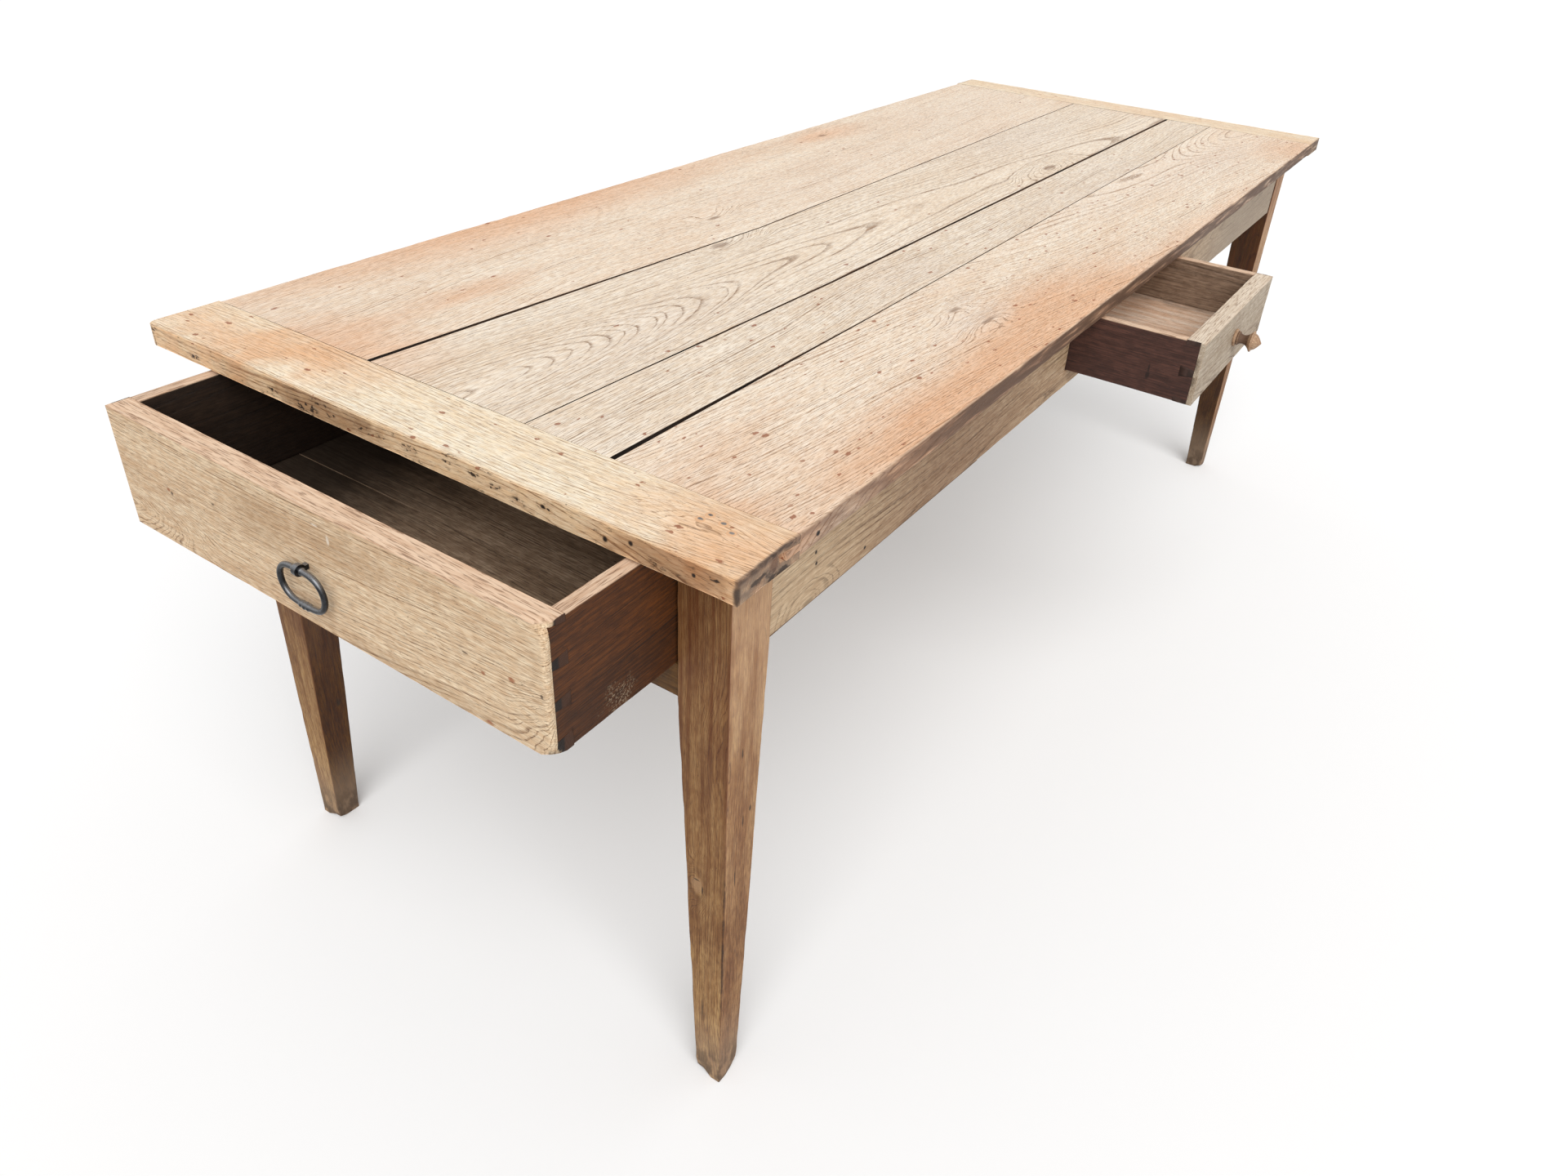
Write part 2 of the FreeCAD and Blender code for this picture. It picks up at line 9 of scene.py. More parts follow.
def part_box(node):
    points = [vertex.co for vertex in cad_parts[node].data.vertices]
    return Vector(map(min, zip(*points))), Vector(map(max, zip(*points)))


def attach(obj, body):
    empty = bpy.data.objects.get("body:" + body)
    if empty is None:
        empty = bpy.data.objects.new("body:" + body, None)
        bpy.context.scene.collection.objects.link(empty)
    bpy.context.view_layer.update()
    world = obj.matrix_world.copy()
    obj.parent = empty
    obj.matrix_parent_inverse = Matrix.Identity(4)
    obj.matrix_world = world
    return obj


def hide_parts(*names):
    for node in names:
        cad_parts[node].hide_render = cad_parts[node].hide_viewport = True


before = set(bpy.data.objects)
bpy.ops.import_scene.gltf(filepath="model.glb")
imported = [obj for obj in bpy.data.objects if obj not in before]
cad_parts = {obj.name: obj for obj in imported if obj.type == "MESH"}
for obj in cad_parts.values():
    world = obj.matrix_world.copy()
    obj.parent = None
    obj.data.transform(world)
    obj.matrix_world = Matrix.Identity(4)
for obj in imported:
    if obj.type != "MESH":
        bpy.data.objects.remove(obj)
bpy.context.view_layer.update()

# Legs
# Four square oak posts, tapered on their two inner faces, with the rails tenoned into them. Hands and
# feet have rubbed their arrises round, and the end grain of the feet is dirty, split and chipped.
mm = 0.001
joining = 0.02 * mm


def joined_copy(node_name):
    """A node's solid to work on, its loose triangles joined and its flat faces made whole."""
    work = bmesh.new()
    work.from_mesh(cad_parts[node_name].data)
    bmesh.ops.remove_doubles(work, verts=work.verts, dist=joining)
    bmesh.ops.dissolve_limit(work, angle_limit=math.radians(0.5), verts=work.verts, edges=work.edges)
    work.verts.layers.float.new("arris")
    work.faces.layers.float.new("rounded")
    return work


def arrises(work, shortest, where=lambda middle: True):
    """The outward edges of at least a length in millimetres whose middle lies where asked."""
    found = []
    for edge in work.edges:
        if len(edge.link_faces) != 2 or edge.calc_length() < shortest * mm:
            continue
        if not edge.is_convex or edge.calc_face_angle() < math.radians(30):
            continue
        if where((edge.verts[0].co + edge.verts[1].co) / 2):
            found.append(edge)
    return found


def soften(work, edges, radius, segments=3, wear=1.0):
    """Rounds edges by a radius in millimetres and marks how far they are rubbed, for shape and finish."""
    made = bmesh.ops.bevel(
        work, geom=edges, offset=radius * mm, offset_type="OFFSET", affect="EDGES",
        segments=segments, profile=0.5, clamp_overlap=True, material=-1)
    rounded = work.faces.layers.float["rounded"]
    for face in made["faces"]:
        face[rounded] = wear


def cut_at(work, axis, places):
    """Cuts the faces across an axis at the given places."""
    across = Vector([1.0 if i == axis else 0.0 for i in range(3)])
    for place in places:
        bmesh.ops.bisect_plane(
            work, geom=work.verts[:] + work.edges[:] + work.faces[:], dist=0.01 * mm,
            plane_co=across * place, plane_no=across)


def cut_grid(work, steps):
    """Cuts the faces across each axis at even steps in millimetres, so that the surface can be worn."""
    for axis, step in enumerate(steps):
        if step:
            low = min(v.co[axis] for v in work.verts)
            high = max(v.co[axis] for v in work.verts)
            count = round((high - low) / (step * mm))
            cut_at(work, axis, [low + (high - low) * i / count for i in range(1, count)])


def weather(work, hollow, rub, seed):
    """Takes the surface in unevenly, in millimetres: hollows from plane and scrubbing, and dented arrises."""
    arris = work.verts.layers.float["arris"]
    rounded = work.faces.layers.float["rounded"]
    away = Vector((1.7, 0.9, 2.3)) * seed
    work.normal_update()
    for vert in work.verts:
        vert[arris] = sum(face[rounded] for face in vert.link_faces) / len(vert.link_faces)
        broad = 0.5 + 0.5 * noise.noise((vert.co + away) * 7.0)
        dent = max(0.0, noise.noise((vert.co + away) * 45.0))
        vert.co -= vert.normal * (hollow * broad + vert[arris] * rub * (0.4 * broad + dent)) * mm


def chip(work, at, radius, push):
    """Pushes the surface in by millimetres around a point, as where a corner has broken away."""
    for vert in work.verts:
        reach = (vert.co - Vector(at)).length / (radius * mm)
        if reach < 1:
            vert.co += Vector(push) * mm * (1 - reach**2) ** 2


def placed(name, data):
    """A new object in the scene."""
    made = bpy.data.objects.new(name, data)
    bpy.context.scene.collection.objects.link(made)
    return made


def settle(work, node_name, body, material):
    """Makes the worked mesh the piece that stands for its node."""
    mesh = bpy.data.meshes.new(node_name + "_made")
    work.to_mesh(mesh)
    work.free()
    mesh.shade_smooth()
    mesh.set_sharp_from_angle(angle=math.radians(40))
    piece = placed(node_name + "_made", mesh)
    mesh.materials.append(material)
    piece.modifiers.new("flat_faces_stay_flat", "WEIGHTED_NORMAL").keep_sharp = True
    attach(piece, body)
    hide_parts(node_name)


def paint(*looks):
    """A colour written as it looks, 0 to 255, as the shader's linear colour."""
    parts = [part / 255 for part in looks]
    linear = [part / 12.92 if part < 0.0404 else ((part + 0.055) / 1.055) ** 2.4 for part in parts]
    return (*linear, 1.0)


def node(kind, inputs, output=0, tree=None, **settings):
    """Adds a shader node, sets or links its inputs and returns the socket of its result.
    It goes into the tree that its linked inputs are in, or into the given one."""
    linked = [key for key, value in inputs.items() if isinstance(value, bpy.types.NodeSocket)]
    tree = tree or inputs[linked[0]].id_data
    made = tree.nodes.new("ShaderNode" + kind)
    for key, value in settings.items():
        setattr(made, key, value)
    for key, value in inputs.items():
        if key in linked:
            tree.links.new(value, made.inputs[key])
        else:
            made.inputs[key].default_value = value
    return made.outputs[output]


def node_group(name, inputs, results):
    """A new node group with the given inputs, by name and kind, and results, and the sockets inside it."""
    tree = bpy.data.node_groups.new(name, "ShaderNodeTree")
    for label, kind in inputs.items():
        tree.interface.new_socket(label, in_out="INPUT", socket_type="NodeSocket" + kind)
    for label in results:
        tree.interface.new_socket(label, in_out="OUTPUT", socket_type="NodeSocketFloat")
    return tree, tree.nodes.new("NodeGroupInput").outputs, tree.nodes.new("NodeGroupOutput").inputs


def calc(operation, *values):
    return node("Math", dict(enumerate(values)), operation=operation)


def vector(operation, first, second=(0, 0, 0), output=0):
    return node("VectorMath", {0: first, 1: second}, output, operation=operation)


def length(offset):
    return vector("LENGTH", offset, output="Value")


def axis_of(spot, axis):
    return node("SeparateXYZ", {0: spot}, axis)


def rise(value, start, end):
    """0 at start and 1 at end, eased between them; start may be the larger."""
    limits = {"Value": value, "From Min": start, "From Max": end}
    return node("MapRange", limits, interpolation_type="SMOOTHSTEP")


def ramp(value, edge, start, end):
    """As rise, between two distances from an edge in millimetres."""
    return rise(value, edge + start * mm, edge + end * mm)


def both(first, *others):
    for other in others:
        first = calc("MULTIPLY", first, other)
    return first


def facing(spot, axis, start, end):
    """How much the surface faces along an axis: 0 at start and 1 at end of its normal's part there."""
    return rise(axis_of(node("NewGeometry", {}, "Normal", spot.id_data), axis), start, end)


def mix(amount, first, second, how="MIX"):
    return node("Mix", {0: amount, 6: first, 7: second}, 2, data_type="RGBA", blend_type=how)


def stain(colour, where, much, tint, how="MIX"):
    """The colour with a tint laid over it where asked, as strongly as much says."""
    return mix(calc("MULTIPLY", where, much), colour, paint(*tint), how)


def cloud(place, size, detail=2.0, output=0):
    """Noise whose lumps have the given size in millimetres along each axis."""
    scaled = vector("DIVIDE", place, Vector(size) * mm)
    return node("TexNoise", {"Vector": scaled, "Scale": 1.0, "Detail": detail}, output)


def wander(place, size, detail, much):
    """A wandering offset, up to half of much either way, in lumps of the given size in millimetres."""
    centred = vector("SUBTRACT", cloud(place, size, detail, "Color"), (0.5, 0.5, 0.5))
    return vector("MULTIPLY", centred, much)


def ellipse(place, middle, half_sizes, unit=1.0):
    """How far a place lies from a middle on the first two axes: 1 on an ellipse of the given half sizes."""
    offset = vector("SUBTRACT", place, Vector((*middle, 0)) * unit)
    return length(vector("MULTIPLY", offset, Vector((1 / half_sizes[0], 1 / half_sizes[1], 0)) / unit))


def marks(spot, rows, lump, stray=0.35):
    """1 in the middle of each mark and 0 outside its ragged ellipsoid.
    A row holds a mark's middle and half sizes. They and the size of the raggedness are in millimetres."""
    lumps = wander(spot, (lump, lump, lump), 3.0, Vector((stray, stray, stray)) * 2)
    found = 0.0
    for row in rows:
        offset = vector("SUBTRACT", spot, Vector(row[:3]) * mm)
        offset = vector("DIVIDE", offset, Vector(row[3:]) * mm)
        found = calc("MAXIMUM", found, rise(length(vector("ADD", offset, lumps)), 1.0, 0.4))
    return found


def spots(place, size, radius, share):
    """Scattered spots: a share of cells of a size in millimetres hold a spot of a share of the cell."""
    scaled = vector("DIVIDE", place, Vector(size) * mm)
    cell = node("TexVoronoi", {"Vector": scaled, "Scale": 1.0})
    chances = node("SeparateColor", {0: cell.node.outputs["Color"]}).node.outputs
    held = rise(chances["Red"], 1 - share, 1 - share + 0.02)
    reach = calc("MULTIPLY_ADD", chances["Green"], 0.75 * radius, 0.25 * radius)
    return both(rise(calc("DIVIDE", cell, reach), 1.0, 0.6), held)


def oak_figure():
    """Growth rings of a leaning, wandering heart, cut by the board: lines, pores and fibre.
    Place runs along the grain on X. The heart passes through Pith and drifts by Lean along the board."""
    inputs = dict.fromkeys(("Place", "Seed", "Pith", "Lean"), "Vector")
    inputs.update(Ring="Float", Bulge="Float")
    tree, given, made = node_group("oak_figure", inputs, ("Line", "Late", "Fibre", "Pores"))
    place = given["Place"]
    field = vector("ADD", place, given["Seed"])
    lean = node("VectorMath", {0: given["Lean"], "Scale": axis_of(place, "X")}, operation="SCALE")
    heart = vector("ADD", given["Pith"], lean)
    heart = vector("ADD", heart, wander(field, (700, 1500, 1500), 1.0, (0, 0.10, 0.06)))
    waves = {
        13 * mm: (400, 70, 70),
        2.2 * mm: (90, 12, 12),
        0.5 * mm: (16, 3, 3),
    }
    stray = 0.0
    for swing, size in waves.items():
        wave = calc("SUBTRACT", cloud(field, size, 1.0), 0.5)
        stray = calc("MULTIPLY_ADD", wave, swing, stray)
    off_heart = vector("MULTIPLY", vector("SUBTRACT", place, heart), (0, 1, 1))
    off_heart = vector("ADD", off_heart, node("CombineXYZ", {"Y": stray}))
    radius = calc("ADD", length(off_heart), given["Bulge"])
    year = calc("DIVIDE", radius, given["Ring"])
    pace = node("TexNoise", {"W": calc("MULTIPLY", year, 0.33), "Scale": 1.0}, noise_dimensions="1D")
    year = calc("MULTIPLY_ADD", calc("SUBTRACT", pace, 0.5), 2.4, year)
    phase = calc("FRACT", year)
    line = both(rise(phase, 0.0, 0.05), rise(phase, 0.32, 0.08))
    broken = rise(cloud(field, (100, 8, 8)), 0.28, 0.6)
    line = both(line, calc("MULTIPLY_ADD", broken, 0.45, 0.55))
    dashes = cloud(field, (9, 0.7, 0.7), 1.0)
    in_line = both(rise(dashes, 0.48, 0.62), line)
    pores = calc("MAXIMUM", in_line, calc("MULTIPLY", rise(dashes, 0.68, 0.76), 0.7))
    fibre = cloud(field, (80, 1.8, 1.8), 3.0)
    for label, result in {"Line": line, "Late": phase, "Fibre": fibre, "Pores": pores}.items():
        tree.links.new(result, made[label])
    return tree


figure = oak_figure()
Tone = namedtuple("Tone", "pale deep line pore worn")
# A knot lies and spreads in millimetres; core and rim say how dark it is.
Knot = namedtuple("Knot", "along across length width swell core rim", defaults=(0.0,))


def oak(node_name, axes, tone, pith, lean=(0.0, 0.0), ring=4.2, seed=1.0, knots=(), strength=1.0,
        flecks=0.0, worm=0.03, patina=None, grime_and_shade=None, name=None):
    """Oak cut from a log whose heart passes at pith from the middle, across and through it.
    Pith and the rings' width are in millimetres.
    Axes names the piece's axes along the grain, across its face and through it, such as XYZ.
    Patina colours the wood under its lines and pores, and grime_and_shade lays dirt, and on some pieces
    painted shade, over them."""
    material = bpy.data.materials.new(name or node_name + "_oak")
    material.use_nodes = True
    tree = material.node_tree
    tree.nodes.clear()
    spot = node("TexCoord", {}, "Object", tree)
    parts = node("SeparateXYZ", {0: spot}).node.outputs
    place = node("CombineXYZ", {i: parts[axis] for i, axis in enumerate(axes)})
    low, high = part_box(node_name)
    start, across, through = (((low + high) / 2)["XYZ".index(axis)] for axis in axes)

    bulge = 0.0
    knot_heart = 0.0
    if knots:
        strayed = vector("ADD", place, wander(place, (50, 20, 20), 2.0, (0.024, 0.012, 0)))
    for knot in knots:
        reach = ellipse(strayed, (knot.along, knot.across), (knot.length, knot.width), mm)
        bulge = calc("MULTIPLY_ADD", rise(reach, 1.0, 0.0), knot.swell * mm, bulge)
        knot_heart = calc("MULTIPLY_ADD", rise(reach, 0.20, 0.06), knot.core, knot_heart)
        if knot.rim:
            rim = both(rise(reach, 0.28, 0.36), rise(reach, 0.50, 0.40))
            knot_heart = calc("MULTIPLY_ADD", rim, knot.rim, knot_heart)

    away = Vector((3.71, 1.33, 2.17)) * seed
    heart = (0.0, across + pith[0] * mm - lean[0] * start, through + pith[1] * mm - lean[1] * start)
    cut = node("Group", {"Place": place, "Seed": away, "Pith": heart, "Lean": (0.0, *lean), "Ring": ring * mm,
                         "Bulge": bulge}, node_tree=figure).node.outputs
    line, late, fibre, pores = (cut[label] for label in ("Line", "Late", "Fibre", "Pores"))
    field = vector("ADD", place, away)

    broad = rise(cloud(field, (300, 60, 60)), 0.35, 0.68)
    streak = rise(fibre, 0.38, 0.62)
    depth = calc("MULTIPLY_ADD", streak, 0.5, calc("MULTIPLY", broad, 0.5))
    colour = mix(depth, paint(*tone.pale), paint(*tone.deep))
    if patina:
        colour = patina(spot, colour)
    mottle = rise(cloud(field, (14, 6, 6), 5.0), 0.38, 0.64)
    colour = stain(colour, mottle, 0.34, tone.deep, "MULTIPLY")
    grit = rise(cloud(field, (12, 1.1, 1.1), 3.0), 0.40, 0.68)
    colour = stain(colour, grit, 0.36 * strength, tone.line)
    faint = rise(cloud(field, (90, 20, 20), 4.0), 0.34, 0.62)
    line = both(line, calc("MULTIPLY_ADD", faint, 0.75, 0.25))
    shade = calc("MULTIPLY_ADD", streak, 0.32 * strength, 0.46 * strength)
    colour = stain(colour, line, shade, tone.line)
    colour = stain(colour, late, 0.12 * strength, tone.line)
    colour = stain(colour, pores, 0.6 * strength, tone.pore)
    specks = spots(field, (11, 5, 5), 0.16, 0.55)
    colour = stain(colour, specks, 0.5 * strength, tone.pore)
    if flecks:
        ragged = cloud(field, (4, 4, 4), 1.0, "Color")
        torn_place = vector("ADD", field, vector("MULTIPLY", ragged, (0.006, 0.004, 0.004)))
        rust = spots(torn_place, (18, 10, 10), 0.33, flecks)
        colour = stain(colour, rust, 0.8, (144, 78, 44))
    if knots:
        colour = stain(colour, knot_heart, 0.75, tone.pore)
    holes = spots(field, (22, 16, 16), 0.09, worm)
    colour = stain(colour, holes, 0.85, (38, 26, 18))
    edge = node("Attribute", {}, "Fac", tree, attribute_name="arris")
    uneven = cloud(field, (30, 12, 12), 3.0)
    rubbed = rise(both(edge, calc("ADD", uneven, 0.35)), 0.45, 0.85)
    colour = stain(colour, rubbed, 0.7, tone.worn)
    # Dirt and marks over the wood; on the legs, the front apron, the top and the wide drawer's bottom also
    # painted shade, and on the legs painted light.
    if grime_and_shade:
        colour = grime_and_shade(spot, colour)

    height = calc("MULTIPLY_ADD", line, -0.4, calc("MULTIPLY", fibre, 0.35))
    height = calc("MULTIPLY_ADD", pores, -0.8, height)
    height = calc("MULTIPLY_ADD", holes, -2.0, height)
    bump = node("Bump", {"Height": height, "Strength": 0.6, "Distance": 0.7 * mm})
    rough = node("MapRange", {"Value": fibre, "To Min": 0.52, "To Max": 0.76})
    shader = node("BsdfPrincipled", {"Base Color": colour, "Roughness": rough, "Normal": bump,
                                     "Specular IOR Level": 0.3})
    tree.links.new(shader, tree.nodes.new("ShaderNodeOutputMaterial").inputs["Surface"])
    return material


leg_tone = Tone((208, 169, 114), (157, 115, 67), (80, 47, 23), (58, 36, 22), (118, 80, 50))
leg_rounding = 2.0
foot_rounding = 3.5
leg_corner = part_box("near_front_leg")[0]
leg_x, leg_y = leg_corner.x / mm, leg_corner.y / mm
crack_black = (40, 26, 16)
leg_cracks = (
    (-881, leg_y, 410, 1.3, 3, 12), (-892, leg_y, 338, 1.2, 3, 18), (-869, leg_y, 419, 2.2, 3, 5),
    (-886, leg_y, 505, 1.6, 3, 8), (leg_x, -251, 120, 3, 1.2, 24), (leg_x, -241, 326, 3, 6, 1.6),
    (leg_x, -249, 315, 3, 1.6, 8), (leg_x, leg_y, 250, 3.2, 3.2, 230),
)
leg_eye = [(leg_x, -242, 319, 4, 10, 15)]
back_leg_knot = [(-879, 401, 208, 5, 4, 10)]
leg_knots = {
    "near_front_leg": [Knot(323, -242, 54, 28, 30, 0.35, 0.38), Knot(500, -250, 150, 40, -16, 0.0)],
}


def leg_dirt_and_shade(end, side):
    """Paint for a leg: near-end faces redder high up (wood and painted shade), painted shade on inner faces,
    painted light and shade on front faces, dirt at the foot.
    """
    inner_shade = (140, 119, 57) if end < 0 else (108, 93, 66)
    redness = 0.58 if end < 0 else 0.1

    def grime_and_shade(spot, colour):
        # Painted shade: the inner faces, in under the table, are darkened.
        inner = calc("MAXIMUM", facing(spot, "X", -end * 0.4, -end * 0.9),
                     facing(spot, "Y", -side * 0.4, -side * 0.9))
        colour = mix(inner, colour, paint(*inner_shade), "MULTIPLY")
        level = axis_of(spot, "Z")
        near = facing(spot, "X", -0.4, -0.9)
        front = facing(spot, "Y", -0.4, -0.9)
        streaks = rise(cloud(spot, (7, 7, 500)), 0.35, 0.7)
        # Redder and darker high on the faces towards the near end: partly the wood's colour, partly painted
        # shade under the drawer and the top.
        red = both(near, rise(level, -0.1, 0.7), calc("MULTIPLY_ADD", streaks, 0.40, redness))
        colour = mix(red, colour, paint(94, 46, 8))
        # Painted light and shade: the faces towards the front are lighter high up and darker low down.
        colour = stain(colour, both(front, rise(level, 0.2, 0.75)), 0.5, (220, 178, 146))
        colour = mix(both(front, rise(level, 0.55, 0.25)), colour, paint(240, 228, 232), "MULTIPLY")
        blotches = rise(cloud(spot, (18, 18, 90), 5.0), 0.42, 0.66)
        colour = stain(colour, blotches, 0.55, (176, 136, 96), "MULTIPLY")
        if end < 0 and side < 0:
            colour = stain(colour, marks(spot, leg_eye, 9), 0.55, (176, 140, 104))
            colour = stain(colour, marks(spot, leg_cracks, 9), 0.85, crack_black)
        if end < 0 and side > 0:
            colour = stain(colour, marks(spot, back_leg_knot, 6), 0.85, crack_black)
        colour = stain(colour, rise(level, 0.15, 0.02), 0.4, (172, 148, 124))
        patches = rise(cloud(spot, (12, 12, 22), 4.0), 0.38, 0.58)
        return stain(colour, both(rise(level, 0.08, 0.01), patches), 0.75, (74, 57, 43))
    return grime_and_shade


for index, leg in enumerate(("near_front_leg", "near_back_leg", "far_front_leg", "far_back_leg")):
    low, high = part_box(leg)
    end = 1 if low.x > 0 else -1
    side = 1 if high.y > 0.3 else -1
    work = joined_copy(leg)
    soften(work, arrises(work, 100), leg_rounding)
    soften(work, arrises(work, 20, lambda middle: middle.z < 1 * mm), foot_rounding)
    cut_grid(work, (12, 12, 10))
    weather(work, hollow=0.6, rub=1.4, seed=3.0 + index)
    outer = Vector((low.x if end < 0 else high.x, low.y if side < 0 else high.y, 0.0))
    chip(work, outer + Vector((0, -side * 30 * mm, 0)), 18, (-end * 3, 0, 5))
    chip(work, outer + Vector((-end * 34 * mm, 0, 0)), 14, (0, -side * 3, 7))
    wood = oak(leg, "ZYX", leg_tone, pith=(side * 40, end * 34), lean=(0.02, 0.012), ring=2.2,
               seed=3.0 + index, knots=leg_knots.get(leg, ()), strength=1.2, worm=0.10,
               grime_and_shade=leg_dirt_and_shade(end, side))
    settle(work, leg, "table", wood)

# Aprons and rails
# Oak boards tenoned into the legs: two long aprons, the one in front notched for the small drawer, the
# far rail, and the narrow rail that the wide drawer runs over. Their lower arrises are lightly rubbed.
apron_tone = Tone((235, 209, 174), (186, 154, 120), (122, 88, 58), (72, 48, 30), (146, 112, 78))
dark_rail_tone = Tone((118, 82, 38), (86, 56, 22), (58, 38, 16), (34, 22, 10), (88, 60, 28))
rails = {
    "front_apron": ("XZY", apron_tone, (-30, 40), (0.05, -0.02), [Knot(-781, 624, 70, 30, 18, 0.8)]),
    "back_apron": ("XZY", apron_tone, (60, -70), (0.0, 0.02), ()),
    "far_end_rail": ("YZX", apron_tone, (-30, -60), (0.0, 0.04), ()),
    "drawer_rail": ("YZX", dark_rail_tone, (10, 80), (0.0, 0.01), ()),
}
rail_rounding = 1.5
apron_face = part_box("front_apron")[0].y / mm
apron_holes = [(x, apron_face, z, 3, 3, 3) for x, z in ((-774, 676), (-772, 662), (-677, 631))]


def apron_marks_and_shade(spot, colour):
    """The front apron: scrubbed at the leg, browner in the middle with painted shade from the drawer and the
    top, greyer beyond, with old nail holes.
    """
    along = axis_of(spot, "X")
    colour = stain(colour, rise(along, -0.66, -0.78), 0.2, (240, 216, 180))
    # Painted shade: the middle of the apron is darkened where the drawer and the top shade it.
    brown = both(rise(along, -0.80, -0.50), rise(along, -0.08, -0.52))
    colour = stain(colour, brown, 0.9, (188, 174, 166), "MULTIPLY")
    colour = stain(colour, rise(along, 0.2, 0.7), 0.7, (154, 142, 128))
    return mix(marks(spot, apron_holes, 6), colour, paint(36, 27, 20))


for index, (rail, (axes, tone, pith, lean, knots)) in enumerate(rails.items()):
    work = joined_copy(rail)
    soften(work, arrises(work, 80), rail_rounding)
    cut_grid(work, [25 if axis == axes[0] else 14 for axis in "XYZ"])
    weather(work, hollow=0.4, rub=0.9, seed=11.0 + index)
    wood = oak(rail, axes, tone, pith, lean, ring=3.6, seed=11.0 + index, knots=knots, worm=0.05,
               grime_and_shade=apron_marks_and_shade if rail == "front_apron" else None)
    settle(work, rail, "table", wood)

# Drawer gear
# Plain unfinished oak battens under the top: runners and guides of the wide drawer, bearers and guides of
# the small one, stop blocks, and glue blocks in the corners. Nailed or glued, sawn square, dark with age.
gear_tone = Tone((156, 122, 88), (120, 88, 60), (80, 54, 34), (46, 30, 18), (126, 94, 66))
gear_rounding = 0.8
gear = {
    "end_drawer_runner_front": "XYZ", "end_drawer_runner_back": "XYZ",
    "end_drawer_guide_front": "XZY", "end_drawer_guide_back": "XZY",
    "side_drawer_bearer_near": "YXZ", "side_drawer_bearer_far": "YXZ",
    "side_drawer_guide_near": "YXZ", "side_drawer_guide_far": "YXZ",
    "end_drawer_stops": "YXZ", "side_drawer_stops": "XYZ", "top_glue_blocks": "XYZ",
}
for index, (batten, axes) in enumerate(gear.items()):
    work = joined_copy(batten)
    soften(work, arrises(work, 15), gear_rounding, segments=2)
    cut_grid(work, (40, 40, 0))
    weather(work, hollow=0.3, rub=0.5, seed=21.0 + index)
    wood = oak(batten, axes, gear_tone, pith=(30, -70), ring=4.5, seed=21.0 + index)
    settle(work, batten, "table", wood)


def iron(name, dark, bright, rough, metallic, rubbed=None):
    """Forged iron: hammered and dark in the hollows, and given a rubbed colour, a painted highlight on what
    faces up.
    """
    material = bpy.data.materials.new(name)
    material.use_nodes = True
    tree = material.node_tree
    spot = node("TexCoord", {}, "Object", tree)
    hammered = cloud(spot, (7, 7, 7), 2.0)
    scale = cloud(spot, (1.2, 1.2, 1.2), 3.0)
    colour = mix(rise(hammered, 0.35, 0.65), paint(*dark), paint(*bright))
    # Painted highlight: what faces up is lightened towards the rubbed colour.
    if rubbed:
        colour = stain(colour, facing(spot, "Z", 0.2, 0.95), 0.8, rubbed)
    worn = node("MapRange", {"Value": scale, "To Min": rough, "To Max": rough + 0.25})
    bump = node("Bump", {"Height": hammered, "Strength": 0.3, "Distance": 0.5 * mm})
    inputs = tree.nodes["Principled BSDF"].inputs
    tree.links.new(colour, inputs["Base Color"])
    tree.links.new(worn, inputs["Roughness"])
    tree.links.new(bump, inputs["Normal"])
    inputs["Metallic"].default_value = metallic
    return material


def dress(node_name, material):
    """Gives a node that keeps its own shape its finish."""
    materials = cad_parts[node_name].data.materials
    materials.clear()
    materials.append(material)


nail_iron = iron("nail_iron", (120, 108, 96), (160, 146, 130), rough=0.6, metallic=0.3)
for nails in ("gear_nails", "end_drawer_nails", "side_drawer_nails"):
    dress(nails, nail_iron)

# Top
# Four wide oak boards, tongued into each other and into a breadboard at each end, with drying gaps between
# them. Scrubbed pale in the middle and warm where wax and hands have kept it, with worn, pitted edges.
top_line = (166, 122, 84)
top_pore = (112, 76, 50)
top_worn = (214, 186, 158)
warm_board = Tone((254, 244, 227), (244, 225, 203), top_line, top_pore, top_worn)
grey_board = Tone((253, 243, 227), (241, 224, 202), (150, 114, 82), top_pore, top_worn)
bread_tone = Tone((255, 247, 226), (249, 230, 201), (162, 118, 78), top_pore, (250, 235, 212))


def plug(work, axes, radius):
    """Closes the upright holes around the given places, where something else fills them."""
    doomed = []
    for face in work.faces:
        for x, y in axes:
            if all(math.hypot(vert.co.x - x, vert.co.y - y) < radius for vert in face.verts):
                doomed.append(face)
                break
    bmesh.ops.delete(work, geom=doomed, context="FACES")
    bmesh.ops.holes_fill(work, edges=[edge for edge in work.edges if edge.is_boundary], sides=0)


